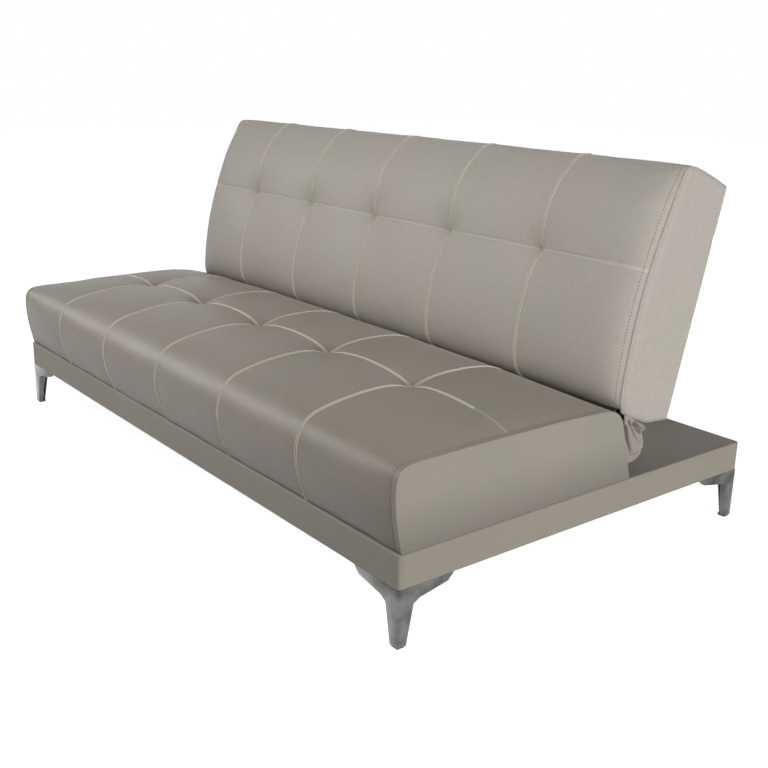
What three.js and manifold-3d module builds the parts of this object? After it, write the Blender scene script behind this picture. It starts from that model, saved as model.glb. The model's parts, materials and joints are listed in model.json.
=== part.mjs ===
// A click clack sofa bed. A plinth stands on four chromed corner legs. On it lie a tufted seat,
// which tilts up to free the catch, and a tufted back, which reclines to flat. Both turn on one
// axis of ratchet hinges behind the seat. Millimetres, +Z up, the front towards -Y.
import * as THREE from 'three';
import { mergeVertices } from 'three/addons/utils/BufferGeometryUtils.js';
import Module from 'manifold-3d';

const wasm = await Module();
wasm.setup();

// Whole sofa
const sofaLength = 1800;
const plinthDepth = 1040;
const plinthHeight = 69;
const legHeight = 122;
const backRakeDegrees = 16.4;
const panelCount = 6;

// Clearances
const seatingGap = 0.3;
const layerGap = 0.5;
const cutOverrun = 40;

// Timber, board and cloth
const railThickness = 22;
const boardThickness = 12;
const coverCloth = 2;

// Hinge axis above the plinth's top, and the back's lower front corner from that axis
const hingeAboveDeck = 130;
const cornerAheadOfHinge = 39;
const cornerAboveHinge = 37;

// Seat cushion
const seatDepth = 603;
const seatSeamHeight = 174;
const seatCrown = 54;
const seatFrontPadding = 30;
const seatRearLip = 28;
const seatPadUnderside = 130;
const seatRailHeight = 60;
const seatHeelSetback = 33;

// Back cushion
const backHeight = 516;
const backTopDepth = 152;
const backHeelDepth = 170;
const backCrown = 52;
const backFacePadding = 15;
const backTopPadding = 38;
const backFoamDepth = 90;
const backHeelDrop = 12;
const backKneeDrop = 26;
const backKneeDepth = 101;

// Sides of both cushions
const sidePanelThickness = 15;

// Tufts and sewn channels
const tuftDepth = 34;
const tuftReach = 60;
const seamDip = 6;
const seamReach = 14;
const endRollReach = 18;
const endSlopeReach = 200;
const endRollShare = 0.45;

// Hinge hardware
const plateThickness = 4;
const bracketInset = 39;
const hingeArmReach = 130;
const pivotRadius = 6;
const bossRadius = 13;
const drumRadius = 19;
const drumWidth = 3.3;
const rivetHeadRadius = 8.5;
const rivetHeadThickness = 4;
const roundSteps = 24;

// Legs
const legInset = 1;
const legSheet = 3;
const legWing = 135;
const legShankTop = 37;
const legShankFoot = 22;
const legWingTip = 15;
const legWingCurve = 28;
const legReturn = 12;
const glideHeight = 3;
const glideMargin = 2;

// Cloth that closes the gap behind the seat
const gussetBehindHinge = 68;
const gussetAboveDeck = 34;
const gussetCloth = 3;
const gussetInset = 4;

// The axis stands straight above the seat's lower rear edge
const hingeFromFront = seatDepth + seatHeelSetback;

const degree = Math.PI / 180;
const backRake = backRakeDegrees * degree;
const halfLength = sofaLength / 2;
const deckTop = legHeight + plinthHeight;
const hingeHeight = deckTop + hingeAboveDeck;
const cushionHalfLength = halfLength - sidePanelThickness;
const panelLength = 2 * cushionHalfLength / panelCount;

const finish = {
  cover: new THREE.MeshStandardMaterial({ color: 0x9b958b, roughness: 0.6, metalness: 0 }),
  foam: new THREE.MeshStandardMaterial({ color: 0xe6dcc0, roughness: 0.95, metalness: 0 }),
  lining: new THREE.MeshStandardMaterial({ color: 0x26262a, roughness: 0.95, metalness: 0 }),
  timber: new THREE.MeshStandardMaterial({ color: 0xc09a64, roughness: 0.7, metalness: 0 }),
  steel: new THREE.MeshStandardMaterial({ color: 0x55575a, roughness: 0.4, metalness: 0.9 }),
  chrome: new THREE.MeshStandardMaterial({ color: 0xd6d8da, roughness: 0.08, metalness: 1 }),
  glide: new THREE.MeshStandardMaterial({ color: 0x1c1c1e, roughness: 0.6, metalness: 0 }),
};

const sofa = new THREE.Group();
const base = new THREE.Group();
const seat = new THREE.Group();
const back = new THREE.Group();
seat.position.z = deckTop;
back.position.set(0, hingeFromFront - cornerAheadOfHinge, hingeHeight + cornerAboveHinge);
back.rotation.x = -backRake;
sofa.add(base, seat, back);

function addPiece(group, name, geometry, material) {
  const piece = new THREE.Mesh(geometry, material);
  piece.name = name;
  group.add(piece);
  return piece;
}

// A box given by its limits along X, Y and Z
function board([left, right], [front, rear], [bottom, top]) {
  const geometry = new THREE.BoxGeometry(right - left, rear - front, top - bottom);
  return geometry.translate((left + right) / 2, (front + rear) / 2, (bottom + top) / 2);
}

// An outline of [y, z] points, extruded along X
function prism(outline, [left, right]) {
  const shape = new THREE.Shape(outline.map(([y, z]) => new THREE.Vector2(y, z)));
  const geometry = new THREE.ExtrudeGeometry(shape, { depth: right - left, bevelEnabled: false });
  const turn = new THREE.Matrix4().set(0, 0, 1, left, 1, 0, 0, 0, 0, 1, 0, 0, 0, 0, 0, 1);
  return geometry.applyMatrix4(turn);
}

// A round bar along X
function bar(radius, [y, z], [left, right]) {
  const geometry = new THREE.CylinderGeometry(radius, radius, right - left, roundSteps);
  return geometry.rotateZ(Math.PI / 2).translate((left + right) / 2, y, z);
}

function toSolid(geometry) {
  const bare = geometry.clone();
  bare.deleteAttribute('normal');
  bare.deleteAttribute('uv');
  const merged = mergeVertices(bare);
  return new wasm.Manifold(new wasm.Mesh({
    numProp: 3,
    vertProperties: new Float32Array(merged.attributes.position.array),
    triVerts: new Uint32Array(merged.index.array),
  }));
}

function toGeometry(solid) {
  const mesh = solid.getMesh();
  const geometry = new THREE.BufferGeometry();
  geometry.setAttribute('position', new THREE.BufferAttribute(mesh.vertProperties, 3));
  geometry.setIndex(new THREE.BufferAttribute(mesh.triVerts, 1));
  return geometry;
}

function join(geometries) {
  return geometries.map(toSolid).reduce((sum, solid) => sum.add(solid));
}

// The limits along X of a layer that starts at a distance from the middle, on one side
function layer(side, start, width) {
  return side > 0 ? [start, start + width] : [-start - width, -start];
}

const sides = [['left', -1], ['right', 1]];

// Legs: folded sheet with two wings, a tapering shank and returned edges.
// The outer corner is the local origin, and the wings run along +X and -Y.
const legSheetHeight = legHeight - glideHeight - 2 * seatingGap;

function upright(outline, depth) {
  const shape = new THREE.Shape(outline.map(([u, v]) => new THREE.Vector2(u, v)));
  const geometry = new THREE.ExtrudeGeometry(shape, { depth, bevelEnabled: false });
  return geometry.rotateX(Math.PI / 2);
}

function legGeometry() {
  const edge = [
    [legWing, 0], [legWing - legWingTip, -legWingTip],
    [legShankTop + legWingTip, -legWingCurve], [legShankTop, -legShankTop],
    [legShankFoot, -legSheetHeight],
  ];
  const innerEdge = edge.map(([u, v]) => [u - legSheet, v + legSheet]);
  const wing = upright([[0, 0], ...edge, [0, -legSheetHeight]], legReturn);
  const hollow = upright([
    [legSheet, legSheet], ...innerEdge, [legSheet, legSheet - legSheetHeight],
  ], legReturn).translate(0, -legSheet, 0);
  const both = (geometry) => toSolid(geometry).add(toSolid(geometry).mirror([1, 1, 0]));

  const near = legSheet / 2;
  const far = legWing - legWingTip - legSheet;
  const flangeShape = new THREE.Shape([
    [near, -near], [far, -near], [far, -legReturn], [legShankTop, -legShankTop],
    [legReturn, -far], [near, -far],
  ].map(([x, y]) => new THREE.Vector2(x, y)));
  const flange = new THREE.ExtrudeGeometry(flangeShape, {
    depth: legSheet - seatingGap, bevelEnabled: false,
  }).translate(0, 0, -legSheet);
  const soleSpan = legShankFoot - near;
  const sole = board([near, soleSpan], [-soleSpan, -near], [
    seatingGap - legSheetHeight, legSheet - legSheetHeight - seatingGap,
  ]);
  return toGeometry(both(wing).subtract(both(hollow)).add(toSolid(flange)).add(toSolid(sole)));
}

function buildLegs() {
  const corners = ['rear_left', 'front_left', 'front_right', 'rear_right'];
  corners.forEach((name, quarterTurns) => {
    const alongX = name.endsWith('right') ? 1 : -1;
    const alongY = name.startsWith('rear') ? 1 : -1;
    const cornerX = alongX * (halfLength - legInset);
    const cornerY = alongY > 0 ? plinthDepth - legInset : legInset;
    const leg = addPiece(base, `leg_${name}`, legGeometry(), finish.chrome);
    leg.rotation.z = quarterTurns * Math.PI / 2;
    leg.position.set(cornerX, cornerY, legHeight - seatingGap);
    const furthest = legShankFoot - glideMargin;
    const spanX = [cornerX - alongX * glideMargin, cornerX - alongX * furthest];
    const spanY = [cornerY - alongY * glideMargin, cornerY - alongY * furthest];
    spanX.sort((a, b) => a - b);
    spanY.sort((a, b) => a - b);
    const glide = board(spanX, spanY, [0, glideHeight]);
    addPiece(base, `glide_${name}`, glide, finish.glide);
  });
}

// Plinth
const innerX = halfLength - coverCloth - seatingGap;
const innerFront = coverCloth + seatingGap;
const innerRear = plinthDepth - coverCloth - seatingGap;
const coverBottom = deckTop - coverCloth;
const boardTop = coverBottom - seatingGap;
const boardBottom = boardTop - boardThickness;
const railTop = boardBottom - seatingGap;
const railBottom = legHeight + coverCloth + seatingGap;
const bracketInner = cushionHalfLength - bracketInset;
const bracketOuter = bracketInner + plateThickness;
const bracketFront = hingeFromFront - 2 * bossRadius;
const bracketRear = hingeFromFront + bossRadius - layerGap;

function slots(bottom, top) {
  return sides.map(([, side]) => toSolid(board(
    layer(side, bracketInner - layerGap, plateThickness + 2 * layerGap),
    [bracketFront - layerGap, bracketRear + layerGap],
    [bottom - cutOverrun, top + cutOverrun],
  )));
}

function slotted(limits) {
  const [bottom, top] = limits[2];
  return toGeometry(slots(bottom, top).reduce(
    (solid, slot) => solid.subtract(slot), toSolid(board(...limits)),
  ));
}

function buildPlinth() {
  const height = [legHeight, deckTop];
  const rail = [railBottom, railTop];
  const fullX = [-halfLength, halfLength];
  const insideX = [-innerX, innerX];
  const insideY = [innerFront, innerRear];
  const betweenRails = [
    innerFront + railThickness + seatingGap, innerRear - railThickness - seatingGap,
  ];
  const rearCover = [plinthDepth - coverCloth, plinthDepth];
  addPiece(base, 'plinth_cover_front', board(fullX, [0, coverCloth], height), finish.cover);
  addPiece(base, 'plinth_cover_rear', board(fullX, rearCover, height), finish.cover);
  addPiece(base, 'plinth_front_rail',
    board(insideX, [innerFront, innerFront + railThickness], rail), finish.timber);
  addPiece(base, 'plinth_rear_rail',
    board(insideX, [innerRear - railThickness, innerRear], rail), finish.timber);
  for (const [name, side] of sides) {
    addPiece(base, `plinth_cover_${name}`,
      board(layer(side, halfLength - coverCloth, coverCloth), insideY, height), finish.cover);
    addPiece(base, `plinth_${name}_rail`,
      board(layer(side, innerX - railThickness, railThickness), betweenRails, rail),
      finish.timber);
    addPiece(base, `hinge_rail_${name}`,
      board(layer(side, bracketInner - seatingGap - railThickness, railThickness),
        betweenRails, rail),
      finish.timber);
  }
  addPiece(base, 'plinth_deck',
    slotted([insideX, insideY, [boardBottom, boardTop]]), finish.timber);
  addPiece(base, 'plinth_top_cover',
    slotted([insideX, insideY, [coverBottom, deckTop]]), finish.cover);
  addPiece(base, 'plinth_dust_cloth',
    board(insideX, insideY, [legHeight, legHeight + coverCloth]), finish.lining);
}

// Hinges: the base bracket, the back arm, the ratchet drum and the seat arm lie side by side
const hingePoint = [hingeFromFront, hingeHeight];
const boreRadius = pivotRadius + seatingGap;
const backArmInner = bracketOuter + layerGap;
const backArmOuter = backArmInner + plateThickness;
const drumInner = backArmOuter + seatingGap;
const seatArmInner = drumInner + drumWidth + seatingGap;
const seatArmOuter = seatArmInner + plateThickness;

// An arm or bracket: an outline with a round boss and a bore on the hinge axis
function pivotPlate(outline, centre, limits) {
  const hole = bar(boreRadius, centre, [limits[0] - cutOverrun, limits[1] + cutOverrun]);
  const plate = join([prism(outline, limits), bar(bossRadius, centre, limits)]);
  return toGeometry(plate.subtract(toSolid(hole)));
}

function buildBrackets() {
  const outline = [
    [bracketFront, railBottom], [bracketRear, railBottom],
    [bracketRear, hingeHeight], [hingeFromFront - bossRadius, hingeHeight],
    [bracketFront, deckTop + seatRailHeight],
  ];
  for (const [name, side] of sides) {
    addPiece(base, `hinge_bracket_${name}`,
      pivotPlate(outline, hingePoint, layer(side, bracketInner, plateThickness)),
      finish.steel);
    const shaftLimits = layer(side, bracketInner - seatingGap,
      seatArmOuter + 2 * seatingGap - bracketInner);
    const innerHead = layer(side, bracketInner - seatingGap - rivetHeadThickness,
      rivetHeadThickness);
    const outerHead = layer(side, seatArmOuter + seatingGap, rivetHeadThickness);
    const rivet = join([
      bar(pivotRadius, hingePoint, [
        Math.min(innerHead[0], outerHead[0], shaftLimits[0]),
        Math.max(innerHead[1], outerHead[1], shaftLimits[1]),
      ]),
      bar(rivetHeadRadius, hingePoint, innerHead),
      bar(rivetHeadRadius, hingePoint, outerHead),
    ]);
    addPiece(base, `pivot_rivet_${name}`, toGeometry(rivet), finish.steel);
  }
}

// Outlines of the cushions at their side seams, and how far the middle stands out from them.
// Each row has its place, as shares of the cushion's sizes, and its rise, as shares of the crown.
const seatRowShares = [
  [0.010, 0.020, -0.04, 0.00], [-0.010, 0.345, -0.26, 0.00], [-0.018, 0.650, -0.30, 0.00],
  [-0.013, 0.822, -0.19, 0.13], [0.010, 0.920, -0.15, 0.22], [0.053, 0.960, -0.19, 0.43],
  [0.169, 0.994, -0.19, 0.69], [0.315, 1.000, -0.10, 0.93], [0.406, 1.000, 0.00, 1.00],
  [0.448, 1.000, 0.00, 1.00], [0.489, 1.000, 0.00, 1.00], [0.580, 1.000, 0.00, 1.00],
  [0.730, 0.994, 0.00, 0.94], [0.846, 0.977, -0.09, 0.74], [0.917, 0.937, -0.30, 0.46],
  [0.959, 0.879, -0.43, 0.22], [0.988, 0.793, -0.22, 0.15], [1.000, 0.678, 0.00, 0.00],
];
const seatCrossRow = 9;
const backRowShares = [
  [0.039, -0.012, 0.00, 0.00], [-0.013, 0.012, -0.35, -0.04], [-0.039, 0.039, -0.56, -0.12],
  [-0.079, 0.097, -0.73, -0.27], [-0.118, 0.184, -0.92, -0.29], [-0.158, 0.291, -0.98, -0.19],
  [-0.178, 0.417, -1.00, -0.10], [-0.178, 0.504, -1.00, 0.00], [-0.171, 0.552, -1.02, 0.00],
  [-0.164, 0.601, -1.04, 0.00], [-0.132, 0.688, -1.12, -0.10], [-0.092, 0.785, -1.13, -0.19],
  [-0.059, 0.862, -0.94, -0.19], [-0.020, 0.930, -0.56, -0.10], [0.020, 0.977, -0.21, 0.02],
  [0.105, 0.998, -0.04, 0.08], [0.296, 1.000, 0.06, 0.12], [0.645, 0.992, 0.00, 0.08],
  [1.000, 0.979, 0.00, 0.00],
];
const backCrossRow = 8;
const columnShares = [0, 0.04, 0.15, 0.32, 0.5, 0.68, 0.85, 0.96];

function cushionRows(shares, depth, height, crown, crossRow) {
  const rows = shares.map(([y, z, riseY, riseZ]) => ({
    y: y * depth, z: z * height, riseY: riseY * crown, riseZ: riseZ * crown,
    weight: Math.min(1, Math.hypot(riseY, riseZ)),
  }));
  const top = rows.map((row) => [row.y + row.riseY, row.z + row.riseZ]);
  rows.forEach((row, index) => {
    const before = top[Math.max(0, index - 1)];
    const after = top[Math.min(rows.length - 1, index + 1)];
    const length = Math.hypot(after[0] - before[0], after[1] - before[1]);
    row.outY = -(after[1] - before[1]) / length;
    row.outZ = (after[0] - before[0]) / length;
  });
  let run = 0;
  rows.forEach((row, index) => {
    if (index > 0) {
      run += Math.hypot(top[index][0] - top[index - 1][0], top[index][1] - top[index - 1][1]);
    }
    row.run = run;
  });
  const seam = rows[crossRow].run;
  rows.forEach((row) => {
    row.fromSeam = Math.abs(row.run - seam);
  });
  return rows;
}

// How far the surface lies under the crown, near tufts and along sewn channels
function dip(alongX, row) {
  const place = (alongX + cushionHalfLength) / panelLength;
  const nearest = Math.round(place);
  const atEnd = nearest === 0 || nearest === panelCount;
  const fromChannel = atEnd ? panelLength : Math.abs(place - nearest) * panelLength;
  const channel = Math.max(
    atEnd ? 0 : Math.exp(-fromChannel / seamReach), Math.exp(-row.fromSeam / seamReach),
  );
  const tuft = atEnd ? 0 : Math.exp(-(fromChannel + row.fromSeam) / tuftReach);
  return (seamDip * channel + tuftDepth * tuft) * row.weight;
}

// The share of the crown that is reached at a distance from the end of the cushion
function endRise(alongX) {
  const inside = cushionHalfLength - Math.abs(alongX);
  return 1 - endRollShare * Math.exp(-inside / endRollReach)
    - (1 - endRollShare) * Math.exp(-inside / endSlopeReach);
}

// The tufted cushion as one closed block, cut off straight at both ends
function tuftedBlock(rows) {
  const columns = [];
  for (let panel = 0; panel < panelCount; panel += 1) {
    columnShares.forEach((share) => {
      columns.push((panel + share) * panelLength - cushionHalfLength);
    });
  }
  columns.push(cushionHalfLength);
  const positions = [];
  rows.forEach((row) => {
    columns.forEach((x) => {
      const rise = endRise(x);
      const depth = dip(x, row) * rise;
      positions.push(
        x, row.y + row.riseY * rise - row.outY * depth, row.z + row.riseZ * rise - row.outZ * depth,
      );
    });
  });
  const width = columns.length;
  const last = rows.length - 1;
  const at = (row, column) => row * width + column;
  const faces = [];
  for (let column = 0; column < width - 1; column += 1) {
    for (let row = 0; row < last; row += 1) {
      faces.push(at(row, column), at(row, column + 1), at(row + 1, column + 1));
      faces.push(at(row, column), at(row + 1, column + 1), at(row + 1, column));
    }
    faces.push(at(0, column), at(last, column), at(last, column + 1));
    faces.push(at(0, column), at(last, column + 1), at(0, column + 1));
  }
  const outline = rows.map((row) => new THREE.Vector2(row.y, row.z));
  for (const [a, b, c] of THREE.ShapeUtils.triangulateShape(outline, [])) {
    const area = THREE.ShapeUtils.area([outline[a], outline[b], outline[c]]);
    const [first, second] = area > 0 ? [b, c] : [c, b];
    faces.push(at(a, width - 1), at(first, width - 1), at(second, width - 1));
    faces.push(at(a, 0), at(second, 0), at(first, 0));
  }
  return new wasm.Manifold(new wasm.Mesh({
    numProp: 3,
    vertProperties: new Float32Array(positions),
    triVerts: new Uint32Array(faces),
  }));
}

const seatRows = cushionRows(seatRowShares, seatDepth, seatSeamHeight, seatCrown, seatCrossRow);
const backRows = cushionRows(backRowShares, backTopDepth, backHeight, backCrown, backCrossRow);
const quiltLimits = [-cushionHalfLength, cushionHalfLength];
const wideCut = [-cushionHalfLength - cutOverrun, cushionHalfLength + cutOverrun];
const sideRailOuter = cushionHalfLength - seatingGap;
const middleRails = sides.map(([name, side]) => [name, side * panelLength]);

function buildSeat() {
  const lipFront = seatDepth - seatRearLip;
  const quilt = tuftedBlock(seatRows).subtract(toSolid(board(
    wideCut, [seatFrontPadding, lipFront], [-cutOverrun, seatPadUnderside],
  )));
  addPiece(seat, 'seat_quilt', toGeometry(quilt), finish.cover);

  const bottom = layerGap;
  const clothTop = bottom + coverCloth;
  const railBase = clothTop + seatingGap;
  const railCrest = railBase + seatRailHeight;
  const foamBase = railCrest + seatingGap;
  const foamTop = seatPadUnderside - seatingGap;
  const foamFront = seatFrontPadding + seatingGap;
  const lastRow = seatRows[seatRows.length - 1];
  const heel = seatDepth + seatHeelSetback;
  const slope = seatHeelSetback / (lastRow.z - bottom);
  const rearAt = (z) => heel - slope * (z - bottom);
  const lipBase = seatRows[0].z + (lastRow.z - seatRows[0].z)
    * (lipFront - seatRows[0].y) / (lastRow.y - seatRows[0].y);

  const foamOutline = [
    [foamFront, foamBase], [rearAt(foamBase) - coverCloth - layerGap, foamBase],
    [rearAt(lipBase) - coverCloth - layerGap, lipBase - layerGap],
    [lipFront - seatingGap, lipBase - layerGap], [lipFront - seatingGap, foamTop],
    [foamFront, foamTop],
  ];
  const bay = bracketInner - 2 * layerGap;
  addPiece(seat, 'seat_foam', prism(foamOutline, [-bay, bay]), finish.foam);

  const panelTop = lastRow.z - layerGap;
  const rearOutline = [
    [rearAt(bottom), bottom], [rearAt(panelTop), panelTop],
    [rearAt(panelTop) - coverCloth, panelTop], [rearAt(bottom) - coverCloth, bottom],
  ];
  addPiece(seat, 'seat_rear_panel', prism(rearOutline, [-bay, bay]), finish.cover);

  const sideOutline = [
    ...seatRows.map((row) => [row.y, row.z]), [rearAt(bottom), bottom], [seatRows[0].y, bottom],
  ];
  const railEnds = [foamFront, lipFront - seatingGap];
  const sideHeights = [railBase, foamTop];
  const crossHeights = [railBase, railCrest];
  for (const [name, side] of sides) {
    addPiece(seat, `seat_side_panel_${name}`,
      prism(sideOutline, layer(side, cushionHalfLength + seatingGap,
        sidePanelThickness - seatingGap)), finish.cover);
    addPiece(seat, `seat_${name}_rail`,
      board(layer(side, seatArmOuter + seatingGap, sideRailOuter - seatArmOuter - seatingGap),
        railEnds, sideHeights), finish.timber);
  }
  const betweenX = [-seatArmOuter, seatArmOuter];
  const frontRail = [railEnds[0], railEnds[0] + railThickness];
  const rearRail = [railEnds[1] - railThickness, railEnds[1]];
  addPiece(seat, 'seat_front_rail', board(betweenX, frontRail, crossHeights), finish.timber);
  addPiece(seat, 'seat_rear_rail', board(betweenX, rearRail, crossHeights), finish.timber);
  for (const [name, x] of middleRails) {
    addPiece(seat, `seat_cross_rail_${name}`,
      board([x - railThickness / 2, x + railThickness / 2],
        [frontRail[1] + seatingGap, rearRail[0] - seatingGap], crossHeights), finish.timber);
  }
  addPiece(seat, 'seat_dust_cloth',
    board([-sideRailOuter, sideRailOuter], railEnds, [bottom, clothTop]), finish.lining);

  const pivot = [hingeFromFront, hingeAboveDeck];
  const armTop = lipBase - 2 * layerGap - coverCloth;
  const armDepth = 3 * bossRadius;
  const armOutline = [
    [hingeFromFront + bossRadius / 2, hingeAboveDeck - bossRadius / 2],
    [hingeFromFront - bossRadius / 2, hingeAboveDeck + bossRadius / 2],
    [seatDepth, armTop], [seatDepth - hingeArmReach, armTop],
    [seatDepth - hingeArmReach, armTop - armDepth], [seatDepth, armTop - armDepth],
  ];
  for (const [name, side] of sides) {
    addPiece(seat, `seat_hinge_arm_${name}`,
      pivotPlate(armOutline, pivot, layer(side, seatArmInner, plateThickness)), finish.steel);
  }
}

// The back is built upright in its own frame: its lower front corner is the origin, Y runs
// through its depth and Z up its face
function buildBack() {
  const coreTop = backHeight - backTopPadding;
  const quilt = tuftedBlock(backRows).subtract(toSolid(board(
    wideCut, [backFacePadding, backHeelDepth + cutOverrun], [-backHeight, coreTop],
  )));
  addPiece(back, 'back_quilt', toGeometry(quilt), finish.cover);

  const frameBase = railThickness + coverCloth;
  const frameTop = coreTop - seatingGap;
  const foamFront = backFacePadding + seatingGap;
  const firstRow = backRows[0];
  const lastRow = backRows[backRows.length - 1];
  const bay = bracketInner - 2 * layerGap;
  const armBay = backArmInner - layerGap;
  const foamHeights = [2 * coverCloth, frameTop];
  const foam = board([-armBay, armBay], [foamFront, backFoamDepth], foamHeights);
  addPiece(back, 'back_foam', foam, finish.foam);

  const heel = [backHeelDepth, -backHeelDrop];
  const knee = [backKneeDepth, -backKneeDrop];
  const toe = [firstRow.y + layerGap, firstRow.z - layerGap];
  const rearTop = [lastRow.y, lastRow.z - layerGap];
  const rearLean = (heel[0] - rearTop[0]) / (rearTop[1] - heel[1]);
  const rearOutline = [
    heel, rearTop, [rearTop[0] + rearLean * (rearTop[1] - coreTop) - coverCloth, coreTop],
    [heel[0] - coverCloth, heel[1] + coverCloth + seatingGap],
  ];
  addPiece(back, 'back_rear_panel',
    prism(rearOutline, [-cushionHalfLength, cushionHalfLength]), finish.cover);

  const underside = [
    toe, knee, [heel[0] - coverCloth - layerGap, heel[1]],
    [heel[0] - coverCloth - layerGap, heel[1] + coverCloth], [knee[0], knee[1] + coverCloth],
    [toe[0] + coverCloth, toe[1] + coverCloth / 2],
  ];
  addPiece(back, 'back_bottom_panel', prism(underside, [-bay, bay]), finish.cover);

  const sideOutline = [...backRows.map((row) => [row.y, row.z]), heel, knee];
  const frameRear = lastRow.y - coverCloth - layerGap;
  const frameDepth = [backFoamDepth + seatingGap, frameRear];
  for (const [name, side] of sides) {
    addPiece(back, `back_side_panel_${name}`,
      prism(sideOutline, layer(side, cushionHalfLength + seatingGap,
        sidePanelThickness - seatingGap)), finish.cover);
    addPiece(back, `back_${name}_rail`,
      board(layer(side, backArmOuter + seatingGap, sideRailOuter - backArmOuter - seatingGap),
        [foamFront, frameRear], [frameBase, frameTop]), finish.timber);
  }
  const betweenX = [-backArmOuter, backArmOuter];
  const topRail = [frameTop - railThickness, frameTop];
  const bottomRail = [frameBase, frameBase + railThickness];
  addPiece(back, 'back_top_rail', board(betweenX, frameDepth, topRail), finish.timber);
  addPiece(back, 'back_bottom_rail', board(betweenX, frameDepth, bottomRail), finish.timber);
  for (const [name, x] of middleRails) {
    addPiece(back, `back_stile_${name}`,
      board([x - railThickness / 2, x + railThickness / 2], frameDepth,
        [bottomRail[1] + seatingGap, topRail[0] - seatingGap]), finish.timber);
  }

  const sine = Math.sin(backRake);
  const cosine = Math.cos(backRake);
  const pivot = [
    cornerAheadOfHinge * cosine + cornerAboveHinge * sine,
    cornerAheadOfHinge * sine - cornerAboveHinge * cosine,
  ];
  const armTop = frameBase + hingeArmReach;
  const armOutline = [
    [pivot[0] - bossRadius, pivot[1]], [pivot[0] + bossRadius, pivot[1]],
    [pivot[0] + 2 * bossRadius, armTop], [pivot[0], armTop],
  ];
  for (const [name, side] of sides) {
    addPiece(back, `back_hinge_arm_${name}`,
      pivotPlate(armOutline, pivot, layer(side, backArmInner, plateThickness)), finish.steel);
    const drumLimits = layer(side, drumInner, drumWidth);
    const drum = toSolid(bar(drumRadius, pivot, drumLimits)).subtract(toSolid(bar(
      boreRadius, pivot, [drumLimits[0] - cutOverrun, drumLimits[1] + cutOverrun],
    )));
    addPiece(back, `ratchet_drum_${name}`, toGeometry(drum), finish.steel);
  }
}

// The cloth that closes the gap behind the seat: a loose band, and a crumpled end at each side
function buildGussets() {
  const gussetRear = hingeFromFront + gussetBehindHinge;
  const gussetLow = deckTop + gussetAboveDeck;
  const bay = bracketInner - rivetHeadThickness - 4 * layerGap;
  const lastRow = seatRows[seatRows.length - 1];
  const slope = seatHeelSetback / (lastRow.z - layerGap);
  const seatRearAt = (z) => seatDepth + seatHeelSetback - slope * (z - deckTop - layerGap);
  const start = deckTop + lastRow.z - 2 * gussetCloth - bossRadius;
  const low = (start + gussetLow) / 2;
  const lowest = hingeHeight - hingeAboveDeck / 2;
  const band = [
    [seatRearAt(start) + layerGap, start], [seatRearAt(low) + layerGap, low],
    [hingeFromFront + bossRadius, lowest], [gussetRear - 2 * bossRadius, low],
    [gussetRear - bossRadius, start - gussetCloth],
    [gussetRear - bossRadius - gussetCloth, start - gussetCloth],
    [gussetRear - 2 * bossRadius - gussetCloth, low + gussetCloth],
    [hingeFromFront + bossRadius, lowest + gussetCloth],
    [seatRearAt(low) + layerGap + gussetCloth, low + gussetCloth],
    [seatRearAt(start) + layerGap + gussetCloth, start],
  ];
  addPiece(base, 'gusset_band', prism(band, [-bay, bay]), finish.cover);
  const crumple = [
    [seatRearAt(deckTop + gussetCloth) + layerGap, deckTop + gussetCloth],
    [gussetRear - bossRadius, gussetLow - bossRadius], [gussetRear, gussetLow + bossRadius],
    [gussetRear - bossRadius, start - 3 * bossRadius / 2],
    [hingeFromFront + bossRadius, hingeHeight - bossRadius],
    [seatRearAt(start) + layerGap, start],
  ];
  const inner = seatArmOuter + rivetHeadThickness + 2 * layerGap;
  for (const [name, side] of sides) {
    addPiece(base, `gusset_end_${name}`,
      prism(crumple, layer(side, inner, halfLength - gussetInset - inner)), finish.cover);
  }
}

buildLegs();
buildPlinth();
buildBrackets();
buildSeat();
buildBack();
buildGussets();

// The origin is on the floor, in the middle of the sofa's length and depth
const middle = new THREE.Box3().setFromObject(sofa).getCenter(new THREE.Vector3());
sofa.position.set(-middle.x, -middle.y, 0);

export default sofa;
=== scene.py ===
"""Click clack sofa bed: tufted cloth over foam and timber, on a cloth-covered plinth with chrome legs.
Metres, +Z up, the front towards -Y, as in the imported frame."""

import json
import math

import bmesh
import bpy
import numpy as np
from mathutils import Matrix, Vector, noise


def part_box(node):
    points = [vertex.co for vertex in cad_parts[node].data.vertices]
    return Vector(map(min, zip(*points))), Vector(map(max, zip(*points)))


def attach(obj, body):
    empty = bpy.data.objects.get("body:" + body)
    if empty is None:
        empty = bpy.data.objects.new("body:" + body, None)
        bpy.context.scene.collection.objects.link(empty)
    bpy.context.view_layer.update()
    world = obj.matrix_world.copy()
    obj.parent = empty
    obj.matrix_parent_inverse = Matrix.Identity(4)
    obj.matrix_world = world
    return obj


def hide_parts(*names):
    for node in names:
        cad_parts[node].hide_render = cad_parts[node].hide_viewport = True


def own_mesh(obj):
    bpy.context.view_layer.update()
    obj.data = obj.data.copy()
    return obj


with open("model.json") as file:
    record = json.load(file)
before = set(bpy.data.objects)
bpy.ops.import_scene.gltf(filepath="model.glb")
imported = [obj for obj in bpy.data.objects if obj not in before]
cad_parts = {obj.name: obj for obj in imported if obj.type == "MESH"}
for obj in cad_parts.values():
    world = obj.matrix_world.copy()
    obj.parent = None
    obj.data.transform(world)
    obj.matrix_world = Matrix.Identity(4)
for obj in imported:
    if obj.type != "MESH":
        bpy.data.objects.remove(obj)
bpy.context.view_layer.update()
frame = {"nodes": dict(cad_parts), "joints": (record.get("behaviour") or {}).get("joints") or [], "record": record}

MM = 0.001
SIDES = (("left", -1), ("right", 1))

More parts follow.
